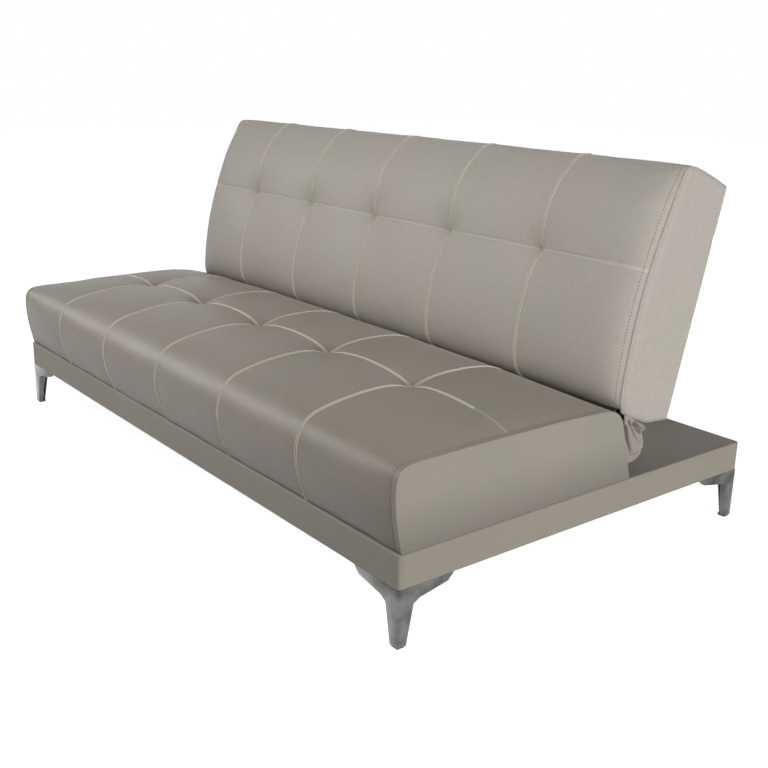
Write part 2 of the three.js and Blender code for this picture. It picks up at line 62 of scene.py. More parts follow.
# Places taken from the frame
joints = {joint["name"]: joint for joint in frame["joints"]}
HINGE_Y, HINGE_Z = joints["back_recline"]["pos_m"][1:]
PLINTH_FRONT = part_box("plinth_cover_front")[0].y
PLINTH_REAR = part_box("plinth_cover_rear")[1].y
DECK_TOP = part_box("plinth_cover_front")[1].z
HALF_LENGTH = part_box("plinth_cover_right")[1].x
CUSHION_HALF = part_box("seat_quilt")[1].x
PANEL_COUNT = 6
PANEL = 2 * CUSHION_HALF / PANEL_COUNT

# Cushions at their side seams, and how far their middles stand out
SEAT_HEEL_SETBACK = 33 * MM
SEAT_DEPTH = HINGE_Y - PLINTH_FRONT - SEAT_HEEL_SETBACK
SEAT_SEAM_HEIGHT = 174 * MM
SEAT_CROWN = 50 * MM
BACK_RAKE = math.radians(16.4)
BACK_CORNER = (HINGE_Y - 39 * MM, HINGE_Z + 37 * MM)
BACK_HEIGHT = 516 * MM
BACK_TOP_DEPTH = 152 * MM
BACK_CROWN = 48 * MM
BACK_HEEL = (170 * MM, -12 * MM)
BACK_KNEE = (101 * MM, -26 * MM)
BACK_HANG = ((HINGE_Y - 32 * MM, HINGE_Z + 20 * MM), (HINGE_Y - 10 * MM, HINGE_Z + 7 * MM))

# Its crumpled ends in side view, in millimetres from the low front corner of their box: where they are
# gathered, their rim, and their creases, each from end to end with its width and how deep it sinks
CRUMPLE_GATHER = (-4, 145)
CRUMPLE_OUTLINE = (
    (8, 80), (15, 46), (24, 27), (46, 25), (64, 30), (78, 41), (82, 56), (77, 76), (72, 88), (86, 96),
    (70, 108), (48, 120), (30, 130), (10, 143),
)
CRUMPLE_CREASES = (
    (((5, 116), (28, 58)), 3.2, 1.0), (((28, 51), (80, 47)), 2.6, 0.55), (((34, 116), (58, 97)), 4.5, 0.9),
    (((58, 97), (82, 101)), 3.5, 0.7), (((14, 128), (56, 66)), 2.0, 0.3), (((46, 40), (34, 28)), 2.4, 0.3),
)
CRUMPLE_STEPS = 49
CRUMPLE_TURN_SHARES = (-0.25, -0.6, -1.0)

# Inside the covers: how far in the wadding reaches
SEAT_REAR_LIP = 28 * MM
SEAT_FRONT_PADDING = 30 * MM
SEAT_PAD_UNDERSIDE = 130 * MM
BACK_TOP_PADDING = 38 * MM
BACK_FACE_PADDING = 15 * MM

# Padded ends: how thick they are, the share of it that lies flat near the edge, and their topstitched line
PANEL_THICKNESS = 15 * MM
PANEL_FLAT_SHARE = 0.92
PANEL_SLOPE = 60 * MM
PANEL_WANDER = 0.8 * MM
PANEL_WANDER_START = 25 * MM
TOPSTITCH_INSET = 2.6 * MM
TOPSTITCH_WIDTH = 0.9 * MM
SEAMING_GAP = 0.3 * MM

# Thin cloth
CLOTH_GAP = 0.5 * MM
CLOTH_THICKNESS = 1.2 * MM
REAR_THICKNESS = 0.7 * CLOTH_THICKNESS
LINING_THICKNESS = 0.8 * MM
LINING_SAG = 0.5 * MM
LINING_SAG_START = 60 * MM
DECK_DENT = 0.4 * MM
REAR_HEM = 1.5 * MM
REAR_SLACK = 0.8 * MM
REAR_SLACK_START = 12 * MM
BAND_RIPPLE = 0.5 * MM
PLINTH_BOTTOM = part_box("plinth_cover_front")[0].z
PLINTH_FOLD = 2.5 * MM
PLINTH_CORNER = 8 * MM
PLINTH_WRAP = PLINTH_CORNER + 2 * MM

# Each row of a cushion's outline: its depth and height, and its rise to the crown both ways, as shares
# of the sizes above
SEAT_ROW_SHARES = (
    (0.010, 0.006, -0.04, 0.00), (-0.010, 0.345, -0.26, 0.00), (-0.018, 0.650, -0.30, 0.00),
    (-0.015, 0.842, -0.16, 0.06), (0.002, 0.952, -0.05, 0.11), (0.049, 0.986, -0.14, 0.34),
    (0.169, 0.994, -0.19, 0.69), (0.315, 1.000, -0.10, 0.93), (0.448, 1.000, 0.00, 1.00),
    (0.580, 1.000, 0.00, 1.00), (0.730, 0.994, 0.00, 0.94), (0.846, 0.977, -0.09, 0.74),
    (0.917, 0.966, -0.30, 0.36), (0.957, 0.915, -0.41, 0.10), (0.984, 0.825, -0.17, 0.04),
    (1.000, 0.678, 0.00, 0.00),
)
SEAT_TUFT_ROW = 8
BACK_ROW_SHARES = (
    (0.039, -0.012, 0.00, 0.00), (-0.013, 0.012, -0.35, -0.04), (-0.039, 0.039, -0.56, -0.12),
    (-0.079, 0.097, -0.73, -0.27), (-0.118, 0.184, -0.92, -0.29), (-0.158, 0.291, -0.98, -0.19),
    (-0.178, 0.417, -1.00, -0.10), (-0.171, 0.552, -1.02, 0.00), (-0.132, 0.688, -1.12, -0.10),
    (-0.092, 0.785, -1.13, -0.19), (-0.059, 0.862, -0.94, -0.19), (-0.020, 0.930, -0.56, -0.10),
    (0.020, 0.977, -0.21, 0.02), (0.105, 0.998, -0.04, 0.08), (0.296, 1.000, 0.06, 0.12),
    (0.645, 0.992, 0.00, 0.08), (1.000, 0.979, 0.00, 0.00),
)
BACK_TUFT_ROW = 7

# Sewing: where the long seams lie along the sofa, a little off even, and the flat strip along each
SEAM_PLACES = (-602 * MM, -303 * MM, -5 * MM, 295 * MM, 600 * MM)
SEAM_STRIP = 4.4 * MM
SEAM_STRIP_EDGE = 0.7 * MM
SEAM_JOIN = 1.2 * MM
SEAM_GROOVE = 0.5 * MM
SEAM_END_FADE = 12 * MM
SEAM_VALLEY = 26 * MM

# What handling leaves in the cloth: puckers beside the seams, a wavy hem and a slow drift of the surface
PUCKER = 0.9 * MM
PUCKER_START = 4 * MM
PUCKER_FADE = 16 * MM
PUCKER_REACH = 50 * MM
HEM_WAVE = 1.2 * MM
HEM_FADE = 14 * MM
PANEL_DRIFT = 0.9 * MM
DRIFT_START = 30 * MM
# How high above the deck the seat's painted shade reaches
LOW_SHADE_REACH = 110 * MM
END_SLOPE = 200 * MM

# Steps between the points of a quilt's fine surface: beside a sewn line, at most, and how they grow
FINE_ACROSS = (1.3 * MM, 8 * MM, 0.45 * MM)
FINE_ALONG = (1.5 * MM, 7 * MM, 0.5 * MM)
COARSE_STEP = 11.5 * MM
LINING_STEP = 100 * MM

# How the wadding presses the cloth out, and how far it may
WADDING = {
    "quality": 5, "mass": 0.3, "air_damping": 5.0, "tension_stiffness": 15.0, "compression_stiffness": 15.0,
    "shear_stiffness": 5.0, "bending_stiffness": 0.5, "vertex_group_mass": "sewn", "use_pressure": True,
    "uniform_pressure_force": 4.0,
}
FILL_STEPS = 20
FILL_LIMIT = 24 * MM

# A stitch from end to end: where along it, how wide and how high, as shares of its length and radius
STITCH_PITCH = 5.2 * MM
STITCH_LENGTH = 4.9 * MM
END_THREAD_RADIUS = 0.8 * MM
CROSS_STITCH_INSET = 90 * MM
STITCH_SIDES = 6
STITCH_SHARES = (-0.5, -0.36, 0.0, 0.36, 0.5)
STITCH_WIDTH_SHARES = (0.35, 0.9, 1.0, 0.9, 0.35)
STITCH_HEIGHT_SHARES = (-1.3, -0.15, 0.35, -0.15, -1.3)


def seat_place(depth, height):
    """A point of the seat's side view, from the plinth's front and the deck."""
    return PLINTH_FRONT + depth, DECK_TOP + height


def back_place(depth, height):
    """A point of the back's side view, from its lower front corner, through its depth and up its face."""
    sine, cosine = math.sin(BACK_RAKE), math.cos(BACK_RAKE)
    return (
        BACK_CORNER[0] + depth * cosine + height * sine,
        BACK_CORNER[1] - depth * sine + height * cosine,
    )


# Meshes
def add_object(name, data):
    """A new object in the scene."""
    made = bpy.data.objects.new(name, data)
    bpy.context.scene.collection.objects.link(made)
    return made


def mesh_piece(name, vertices, faces, material, body):
    """A new smooth piece from arrays of points and faces, turned the right way out."""
    mesh = bpy.data.meshes.new(name)
    mesh.from_pydata([tuple(v) for v in vertices], [], [tuple(f) for f in faces])
    mesh.validate()
    shape = bmesh.new()
    shape.from_mesh(mesh)
    bmesh.ops.recalc_face_normals(shape, faces=shape.faces)
    shape.to_mesh(mesh)
    shape.free()
    mesh.shade_smooth()
    mesh.materials.append(material)
    piece = add_object(name, mesh)
    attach(piece, body)
    return piece


def grid_faces(rows, columns):
    """The quads of a grid whose points are stored row by row."""
    return [
        (r * columns + c, r * columns + c + 1, (r + 1) * columns + c + 1, (r + 1) * columns + c)
        for r in range(rows - 1) for c in range(columns - 1)
    ]


def grid_piece(name, grid, material, body):
    """A new piece from a grid of points."""
    return mesh_piece(name, grid.reshape(-1, 3), grid_faces(*grid.shape[:2]), material, body)


def set_place(piece, places):
    """Stores where each point lies on the flat cloth, in metres, for the weave."""
    layer = piece.data.attributes.new("cloth_place", "FLOAT_VECTOR", "POINT")
    layer.data.foreach_set("vector", np.asarray(places, np.float32).ravel())


def flat_places(across, along):
    """Where the points of a grid lie on the flat cloth, from its steps both ways."""
    x, y = np.meshgrid(across, along)
    return np.stack([x, y, np.zeros_like(x)], axis=2).reshape(-1, 3)


def thicken(piece, thickness, offset=0):
    """Gives a sheet its thickness: half on each side of its points, or all behind them with offset -1."""
    skin = piece.modifiers.new("thickness", "SOLIDIFY")
    skin.thickness = thickness
    skin.offset = offset
    thin = piece.data
    solved = piece.evaluated_get(bpy.context.evaluated_depsgraph_get())
    thick = bpy.data.meshes.new_from_object(solved)
    piece.modifiers.clear()
    piece.data = thick
    bpy.data.meshes.remove(thin)


def unit(vectors):
    """Vectors at a length of one."""
    return vectors / np.linalg.norm(vectors, axis=-1, keepdims=True)


def run_along(points):
    """How far along a line each of its points lies."""
    return np.concatenate([[0], np.cumsum(np.linalg.norm(np.diff(points, axis=0), axis=1))])


def read_line(points, run, places):
    """A line's points, or what is stored at them, read at places along it."""
    return np.stack([np.interp(places, run, column) for column in points.T], axis=-1)


def resampled(points, shares):
    """A line through the points, read at shares of its length."""
    points = np.asarray(points, float)
    run = run_along(points)
    return read_line(points, run, shares * run[-1])


def noise_at(x, y, z):
    """Smooth noise at a place, about -1 to 1."""
    return noise.noise(Vector((x, y, z)))


def waves(x, y, seed, scales, finer):
    """Two layers of noise at a place on a surface, the second one finer and weaker."""
    return sum(weight * noise_at(x * scale, y * scale, seed) for weight, scale in zip((1, finer), scales))


def catmull(values, places):
    """Values at whole numbered places, read between them on a smooth curve."""
    values = np.asarray(values, float)
    last = len(values) - 1
    padded = np.concatenate([
        [2 * values[0] - values[1]], values, [2 * values[-1] - values[-2]],
    ])
    index = np.clip(np.floor(places).astype(int), 0, last - 1)
    t = (np.asarray(places) - index).reshape((-1,) + (1,) * (values.ndim - 1))
    a, b, c, d = (padded[index + k] for k in range(4))
    return 0.5 * (2 * b + (c - a) * t + (2 * a - 5 * b + 4 * c - d) * t ** 2
                  + (3 * b - a - 3 * c + d) * t ** 3)


def even_curve(points, count):
    """A smooth curve through the points, as count points at even steps."""
    fine = catmull(points, np.linspace(0, len(points) - 1, 40 * len(points)))
    return resampled(fine, np.linspace(0, 1, count))


# Materials
def add_node(tree, kind, settings=(), inputs=()):
    """A shader node with its settings, and its inputs as values or as links."""
    made = tree.nodes.new(kind)
    for key, value in dict(settings).items():
        setattr(made, key, value)
    for key, value in dict(inputs).items():
        if isinstance(value, bpy.types.NodeSocket):
            tree.links.new(value, made.inputs[key])
        else:
            made.inputs[key].default_value = value
    return made


def calc(tree, operation, *values):
    """The result of a Math node."""
    return add_node(tree, "ShaderNodeMath", {"operation": operation}, dict(enumerate(values))).outputs[0]


def object_place(tree):
    """The place of each point in the piece's own space."""
    return add_node(tree, "ShaderNodeTexCoord").outputs["Object"]


def noise_value(tree, vector, scale, detail=2.0, roughness=0.5):
    """The value of a Noise texture."""
    return add_node(tree, "ShaderNodeTexNoise", (), {
        "Vector": vector, "Scale": scale, "Detail": detail, "Roughness": roughness,
    }).outputs["Fac"]


def streaks(tree, vector, scales, detail=2.0):
    """Noise that is drawn out along the axes with the smaller scales."""
    drawn = add_node(tree, "ShaderNodeVectorMath", {"operation": "MULTIPLY"}, {0: vector, 1: scales})
    return noise_value(tree, drawn.outputs[0], 1.0, detail)


def mapped(tree, value, low, high, to_low=0.0, to_high=1.0):
    """A value moved from one range to another and held inside it."""
    return add_node(tree, "ShaderNodeMapRange", (), {
        "Value": value, "From Min": low, "From Max": high, "To Min": to_low, "To Max": to_high,
    }).outputs[0]


def mixed(tree, factor, first, second):
    """Two colours mixed by a factor."""
    made = add_node(tree, "ShaderNodeMix", {"data_type": "RGBA"}, {0: factor, 6: first, 7: second})
    return made.outputs[2]


def node_group(name, inputs, outputs):
    """An empty shader group with named sockets, and its ends."""
    tree = bpy.data.node_groups.new(name, "ShaderNodeTree")
    for label, kind, value in inputs:
        tree.interface.new_socket(label, in_out="INPUT", socket_type=kind).default_value = value
    for label, kind in outputs:
        tree.interface.new_socket(label, in_out="OUTPUT", socket_type=kind)
    return tree, tree.nodes.new("NodeGroupInput").outputs, tree.nodes.new("NodeGroupOutput").inputs


def use_group(tree, group, inputs):
    """A group placed in a material with its own values."""
    return add_node(tree, "ShaderNodeGroup", {"node_tree": group}, inputs).outputs


FLOAT, COLOUR, VECTOR = "NodeSocketFloat", "NodeSocketColor", "NodeSocketVector"


def srgb(code):
    """A colour as a material takes it, from the hex code of how it looks."""
    parts = [int(code[k:k + 2], 16) / 255 for k in (0, 2, 4)]
    return tuple(c / 12.92 if c <= 0.04045 else ((c + 0.055) / 1.055) ** 2.4 for c in parts) + (1.0,)


def build_cloth_tone():
    """Two yarn colours that drift into each other, with thin slubs along both threads."""
    tree, given, out = node_group("cloth_tone", (
        ("Place", VECTOR, (0, 0, 0)), ("Yarn", COLOUR, (0.5, 0.5, 0.5, 1)),
        ("Second Yarn", COLOUR, (0.5, 0.5, 0.5, 1)), ("Patch", FLOAT, 6.0), ("Slub", FLOAT, 0.1),
    ), (("Colour", COLOUR), ("Drift", FLOAT)))
    patch = noise_value(tree, given["Place"], given["Patch"], 3.0, 0.55)
    drift = mapped(tree, patch, 0.36, 0.64)
    across = streaks(tree, given["Place"], (45, 380, 300))
    along = streaks(tree, given["Place"], (380, 45, 300))
    slub = calc(tree, "SUBTRACT", calc(tree, "ADD", across, along), 1.0)
    shade = calc(tree, "MULTIPLY_ADD", slub, given["Slub"], 1.0)
    base = mixed(tree, drift, given["Yarn"], given["Second Yarn"])
    scaled = add_node(tree, "ShaderNodeVectorMath", {"operation": "SCALE"}, {0: base, "Scale": shade})
    tree.links.new(scaled.outputs[0], out["Colour"])
    tree.links.new(drift, out["Drift"])
    return tree


def build_plain_weave():
    """The height of crossing threads, uneven as spun yarn is."""
    tree, given, out = node_group("plain_weave", (
        ("Place", VECTOR, (0, 0, 0)), ("Threads", FLOAT, 700.0), ("Unevenness", FLOAT, 0.5),
    ), (("Height", FLOAT),))
    parts = add_node(tree, "ShaderNodeSeparateXYZ", (), {0: given["Place"]}).outputs
    turns = calc(tree, "MULTIPLY", given["Threads"], 2 * math.pi)
    warp, weft = (calc(tree, "SINE", calc(tree, "MULTIPLY", part, turns)) for part in parts[:2])
    cross = calc(tree, "MULTIPLY", warp, weft)
    uneven = streaks(tree, given["Place"], (260, 260, 260), 3.0)
    height = calc(tree, "MULTIPLY_ADD", uneven, given["Unevenness"], calc(tree, "MULTIPLY", cross, 0.25))
    tree.links.new(height, out["Height"])
    return tree


def build_metal_wear_and_reflection():
    """Faint smudges and fine scratches on plated metal; on chrome the smudge mask also lays dark patches of
    painted reflection.
    """
    tree, given, out = node_group("metal_wear", (
        ("Place", VECTOR, (0, 0, 0)), ("Scale", FLOAT, 30.0), ("Polish", FLOAT, 0.1), ("Wear", FLOAT, 0.1),
    ), (("Roughness", FLOAT), ("Height", FLOAT), ("Mask", FLOAT)))
    smudge_and_reflection = mapped(tree, noise_value(tree, given["Place"], given["Scale"], 4.0, 0.6), 0.4, 0.75)
    scratch = streaks(tree, given["Place"], (900, 900, 60))
    rough = calc(tree, "MULTIPLY_ADD", smudge_and_reflection, given["Wear"], given["Polish"])
    tree.links.new(rough, out["Roughness"])
    tree.links.new(scratch, out["Height"])
    tree.links.new(smudge_and_reflection, out["Mask"])
    return tree


def build_wood_grain():
    """Long grain with rings, as a mask between early and late wood."""
    tree, given, out = node_group("wood_grain", (
        ("Place", VECTOR, (0, 0, 0)), ("Rings", FLOAT, 60.0), ("Waver", FLOAT, 0.35),
    ), (("Mask", FLOAT), ("Height", FLOAT)))
    waver = noise_value(tree, given["Place"], 6.0, 3.0)
    parts = add_node(tree, "ShaderNodeSeparateXYZ", (), {0: given["Place"]}).outputs
    depth = calc(tree, "ADD", parts[1], calc(tree, "MULTIPLY", waver, given["Waver"]))
    rings = calc(tree, "SINE", calc(tree, "MULTIPLY", depth, given["Rings"]))
    fibre = streaks(tree, given["Place"], (40, 600, 600))
    mask = calc(tree, "MULTIPLY_ADD", rings, 0.35, fibre)
    tree.links.new(mask, out["Mask"])
    tree.links.new(fibre, out["Height"])
    return tree


CLOTH_TONE = build_cloth_tone()
PLAIN_WEAVE = build_plain_weave()
METAL_WEAR_AND_REFLECTION = build_metal_wear_and_reflection()
WOOD_GRAIN = build_wood_grain()


def new_material(name, **constants):
    """A material with a Principled shader, whose constant sockets are set here."""
    material = bpy.data.materials.new(name)
    material.use_nodes = True
    shader = material.node_tree.nodes["Principled BSDF"]
    for label, value in constants.items():
        shader.inputs[label.replace("_", " ")].default_value = value
    return material, material.node_tree, shader


def set_colour(tree, shader, factor, first, second):
    """Feeds the shader a colour between two that are given by their hex codes."""
    tree.links.new(mixed(tree, factor, srgb(first), srgb(second)), shader.inputs["Base Color"])


def add_bump(tree, shader, height, distance, strength):
    """Feeds a height to the shader's normal."""
    bump = add_node(tree, "ShaderNodeBump", (), {
        "Height": height, "Distance": distance, "Strength": strength,
    })
    tree.links.new(bump.outputs[0], shader.inputs["Normal"])


def cloth_material(name, yarn, second, slub=0.22, threads=620.0, sheen=0.12, rough=(0.5, 0.6), gloss=0.2,
                   shaded_low=False):
    """Woven upholstery cloth, read from the place of each point on the flat cloth. Where asked, it is darkened low
    down with painted shade, by a per-point value of the piece."""
    material, tree, shader = new_material(
        name, Sheen_Weight=sheen, Sheen_Roughness=0.35, Sheen_Tint=(1.0, 0.98, 0.95, 1.0),
        Specular_IOR_Level=gloss)
    place = add_node(tree, "ShaderNodeAttribute", {"attribute_name": "cloth_place"}).outputs["Vector"]
    tone = use_group(tree, CLOTH_TONE, {
        "Place": place, "Yarn": srgb(yarn), "Second Yarn": srgb(second), "Patch": 3.5, "Slub": slub,
    })
    weave = use_group(tree, PLAIN_WEAVE, {"Place": place, "Threads": threads, "Unevenness": 0.6})
    colour = tone["Colour"]
    # Painted shade: the colour darkens towards the deck by the piece's per-point shade value
    if shaded_low:
        nap = add_node(tree, "ShaderNodeAttribute", {"attribute_name": "nap"}).outputs["Fac"]
        colour = mixed(tree, nap, (0, 0, 0, 1), colour)
    tree.links.new(colour, shader.inputs["Base Color"])
    tree.links.new(mapped(tree, tone["Drift"], 0.0, 1.0, *rough), shader.inputs["Roughness"])
    add_bump(tree, shader, weave["Height"], 0.35 * MM, 0.6)
    return material


def grained_material(name, first, second, scale, bump, **constants):
    """A finish whose colour and relief both follow one fine grain."""
    material, tree, shader = new_material(name, **constants)
    grain = noise_value(tree, object_place(tree), scale)
    set_colour(tree, shader, grain, first, second)
    add_bump(tree, shader, grain, *bump)
    return material


def thread_material(name, first, second):
    """Twisted sewing thread."""
    return grained_material(
        name, first, second, scale=1400.0, bump=(0.2 * MM, 0.5), Sheen_Weight=0.2, Roughness=0.45)


def foam_material():
    """Open-celled cream foam."""
    material, tree, shader = new_material("cream_foam", Roughness=0.95)
    where = object_place(tree)
    cells = add_node(tree, "ShaderNodeTexVoronoi", (), {"Vector": where, "Scale": 420.0})
    set_colour(tree, shader, noise_value(tree, where, 9.0, 3.0), "e9dfc3", "d8c9a2")
    add_bump(tree, shader, cells.outputs["Distance"], 0.8 * MM, 0.8)
    return material


def timber_material(name, early, late, rings, waver):
    """Planed wood with its grain along the sofa."""
    material, tree, shader = new_material(name, Roughness=0.68)
    grain = use_group(tree, WOOD_GRAIN, {"Place": object_place(tree), "Rings": rings, "Waver": waver})
    set_colour(tree, shader, grain["Mask"], early, late)
    add_bump(tree, shader, grain["Height"], 0.3 * MM, 0.5)
    return material


def metal_material(name, colour, worn_and_reflected, polish, wear, scale):
    """Plated metal, its colour between two tones by the smudge mask: wear on zinc, and dark patches of painted
    reflection on chrome.
    """
    material, tree, shader = new_material(name, Metallic=1.0)
    marks = use_group(tree, METAL_WEAR_AND_REFLECTION, {
        "Place": object_place(tree), "Scale": scale, "Polish": polish, "Wear": wear,
    })
    set_colour(tree, shader, marks["Mask"], colour, worn_and_reflected)
    tree.links.new(marks["Roughness"], shader.inputs["Roughness"])
    add_bump(tree, shader, marks["Height"], 0.03 * MM, 0.3)
    return material


# One greige fabric in several copies. Painted light and shade: the back's copy is painted lighter, the seat's top
# and the plinth's copies darker
COVER = cloth_material("greige_cloth", "9b968b", "a09891", slub=0.12)
SEAT_END_CLOTH = cloth_material("greige_end_cloth", "9b978b", "a19a90", slub=0.12, shaded_low=True)
BACK_CLOTH = cloth_material("greige_cloth_nap_up", "b9b4a9", "bdb5ae")
# The strips beside the back's seams are the same cloth painted lighter, as painted sheen
BACK_STRIP_PAINTED_LIGHT = cloth_material("greige_cloth_pressed", "c4bfb4", "c9c2b9")
SEAT_CLOTH = cloth_material(
    "greige_cloth_nap_flat", "8e887b", "968b81", rough=(0.38, 0.44), gloss=0.26, shaded_low=True)
# The strips beside the seat's seams are the same cloth painted lighter, as painted sheen
SEAT_STRIP_PAINTED_LIGHT = cloth_material(
    "greige_seat_pressed", "a49e90", "a99f93", rough=(0.42, 0.5), shaded_low=True)
PLINTH_CLOTH = cloth_material("greige_plinth_cloth", "989286", "9c958a", slub=0.12)
LINING = cloth_material("black_lining", "2a2a2e", "222226", threads=900.0, sheen=0.1, rough=(0.8, 0.9))
CREAM_THREAD = thread_material("cream_thread", "ebe5d5", "dad4c2")
PALE_THREAD = thread_material("pale_thread", "bbb6aa", "aca799")
# The end-seam thread is painted darker than the cover, as painted shade of its gathers
SHADED_TONAL_THREAD = thread_material("tonal_thread", "625d54", "716c62")
FOAM = foam_material()
SOFTWOOD = timber_material("planed_softwood", "caa36c", "b08751", rings=95.0, waver=0.12)
PLYWOOD = timber_material("plywood_deck", "c9a878", "b8935f", rings=30.0, waver=0.3)
ZINC = metal_material("zinc_plated_steel", "8b8d90", "74767a", polish=0.32, wear=0.2, scale=40.0)
# Chrome painted dark grey with darker patches, as painted reflection
CHROME = metal_material("polished_chrome", "6b6a69", "2b2a2a", polish=0.07, wear=0.2, scale=14.0)
GLIDE = grained_material(
    "black_glide", "1d1d1f", "2a2a2d", scale=900.0, bump=(0.1 * MM, 0.4), Roughness=0.6)


# Quilts
def end_rise(x, roll, share):
    """How much of the crown is reached at a distance from the end of a cushion."""
    inside = CUSHION_HALF - np.abs(x)
    return 1 - share * np.exp(-inside / roll) - (1 - share) * np.exp(-inside / END_SLOPE)


def seam_warp(x):
    """Where a place on the evenly spaced panels lies once they are sewn."""
    even = np.linspace(-CUSHION_HALF, CUSHION_HALF, PANEL_COUNT + 1)
    return np.interp(x, even, (-CUSHION_HALF, *SEAM_PLACES, CUSHION_HALF))


def graded(length, finest, coarsest, growth):
    """Distances from 0 to a length, close together at first and wider apart later."""
    steps, reached = [0.0], finest
    step = finest
    while reached < length - step / 2:
        steps.append(reached)
        step = min(coarsest, step + growth)
        reached += step
    steps.append(length)
    return np.array(steps)


class Quilt:
    """A tufted cover: its rows in side view, its sewn lines and its surface."""

    CELLS = 25  # across one panel, before the surface is refined
    READINGS = 60  # of the smooth outline, from one given row to the next

    def __init__(self, shares, depth, height, crown, tuft_row, place, tuft, channel, ends):
        rows = np.array(shares) * (depth, height, crown, crown)
        fine = catmull(rows, np.linspace(0, len(rows) - 1, self.READINGS * (len(rows) - 1) + 1))
        run = run_along(fine[:, :2] + fine[:, 2:])
        self.row_runs = run[::self.READINGS]
        self.tuft_run = self.row_runs[tuft_row]
        self.tuft_index = round(self.tuft_run / COARSE_STEP)
        above = round((run[-1] - self.tuft_run) / COARSE_STEP)
        self.run = np.concatenate([
            np.linspace(0, self.tuft_run, self.tuft_index + 1),
            np.linspace(self.tuft_run, run[-1], above + 1)[1:],
        ])
        at = read_line(fine, run, self.run).T
        self.side = np.stack(place(at[0], at[1]), axis=1)
        self.crest = np.stack(place(at[0] + at[2], at[1] + at[3]), axis=1)
        for _ in range(2):
            for line in (self.side, self.crest):
                line[1:-1] = 0.25 * line[:-2] + 0.5 * line[1:-1] + 0.25 * line[2:]
        slope = np.gradient(self.crest, axis=0)
        self.out = unit(np.stack([-slope[:, 1], slope[:, 0]], axis=1))
        self.weight = np.minimum(1, np.hypot(at[2], at[3]) / crown)
        self.tuft_depth, self.tuft_reach = tuft
        self.channel_depth = channel
        self.ends = ends
        self.x = np.linspace(-CUSHION_HALF, CUSHION_HALF, PANEL_COUNT * self.CELLS + 1)
        self.coarse = self.start()

    def seam_distance(self, x):
        """The distance to the nearest sewn line between two panels."""
        nearest = np.clip(np.round((x + CUSHION_HALF) / PANEL), 1, PANEL_COUNT - 1)
        return np.abs(x + CUSHION_HALF - nearest * PANEL)

    def start(self):
        """The sewn shape before the wadding fills it."""
        x, run = np.meshgrid(self.x, self.run)
        seam, cross = self.seam_distance(x), np.abs(run - self.tuft_run)
        near = np.maximum(np.exp(-seam / SEAM_VALLEY), np.exp(-cross / SEAM_VALLEY))
        tuft = np.exp(-(np.hypot(seam, cross) / self.tuft_reach) ** 0.9)
        dip = (self.channel_depth * near + self.tuft_depth * tuft) * self.weight[:, None]
        rise = end_rise(x, *self.ends)[:, :, None]
        dip *= rise[:, :, 0]
        flat = self.side[:, None] * (1 - rise) + self.crest[:, None] * rise
        flat = flat - self.out[:, None] * dip[:, :, None]
        return np.concatenate([x[:, :, None], flat], axis=2)

    def fill(self):
        """Presses the cloth out between its seams as the wadding does, with cloth simulation."""
        rows, columns = self.coarse.shape[:2]
        mesh = bpy.data.meshes.new("cloth_to_fill")
        mesh.from_pydata(self.coarse.reshape(-1, 3).tolist(), [], grid_faces(rows, columns))
        cloth = add_object("cloth_to_fill", mesh)
        sewn = cloth.vertex_groups.new(name="sewn")
        row, column = np.divmod(np.arange(rows * columns), columns)
        held = (column % self.CELLS == 0) | (row == 0) | (row == rows - 1) | (row == self.tuft_index)
        sewn.add(np.flatnonzero(held).tolist(), 1.0, "REPLACE")
        wadding = cloth.modifiers.new("wadding", "CLOTH")
        for key, value in WADDING.items():
            setattr(wadding.settings, key, value)
        wadding.settings.effector_weights.gravity = 0.0
        wadding.point_cache.frame_end = FILL_STEPS
        scene = bpy.context.scene
        for step in range(1, FILL_STEPS + 1):
            scene.frame_set(step)
        solved = cloth.evaluated_get(bpy.context.evaluated_depsgraph_get())
        found = np.zeros(rows * columns * 3)
        solved.data.vertices.foreach_get("co", found)
        moved = found.reshape(rows, columns, 3) - self.coarse
        length = np.linalg.norm(moved, axis=2, keepdims=True)
        self.coarse = self.coarse + moved * np.minimum(1, FILL_LIMIT / np.maximum(length, 1e-9))
        bpy.data.objects.remove(cloth)
        bpy.data.meshes.remove(mesh)
        scene.frame_set(1)

    def refine(self):
        """The filled shape on a fine grid, close together beside the sewn lines."""
        half = graded(PANEL / 2, *FINE_ACROSS)
        panel = np.concatenate([half, PANEL - half[-2::-1]])
        columns, self.fine_x = [], []
        for k in range(PANEL_COUNT):
            skip = 0 if k == 0 else 1
            block = self.coarse[:, k * self.CELLS:(k + 1) * self.CELLS + 1].transpose(1, 0, 2)
            columns.append(catmull(block, panel[skip:] / PANEL * self.CELLS))
            self.fine_x.append(panel[skip:] + k * PANEL - CUSHION_HALF)
        wide = np.concatenate(columns).transpose(1, 0, 2)
        self.fine_x = np.concatenate(self.fine_x)
        below = graded(self.tuft_run, *FINE_ALONG)[::-1]
        above = graded(self.run[-1] - self.tuft_run, *FINE_ALONG)
        step_below = self.tuft_run / self.tuft_index
        step_above = (self.run[-1] - self.tuft_run) / (len(self.run) - 1 - self.tuft_index)
        lower = catmull(wide[:self.tuft_index + 1], self.tuft_index - below / step_below)
        upper = catmull(wide[self.tuft_index:], above[1:] / step_above)
        self.points = np.concatenate([lower, upper])
        self.fine_run = np.concatenate([self.tuft_run - below, self.tuft_run + above[1:]])
        self.points[:, :, 0] = seam_warp(self.points[:, :, 0])
        self.normals = self.surface_normals()

    def surface_normals(self):
        """Unit normals of the fine surface, pointing out of the cushion."""
        return unit(np.cross(np.gradient(self.points, axis=1), np.gradient(self.points, axis=0)))

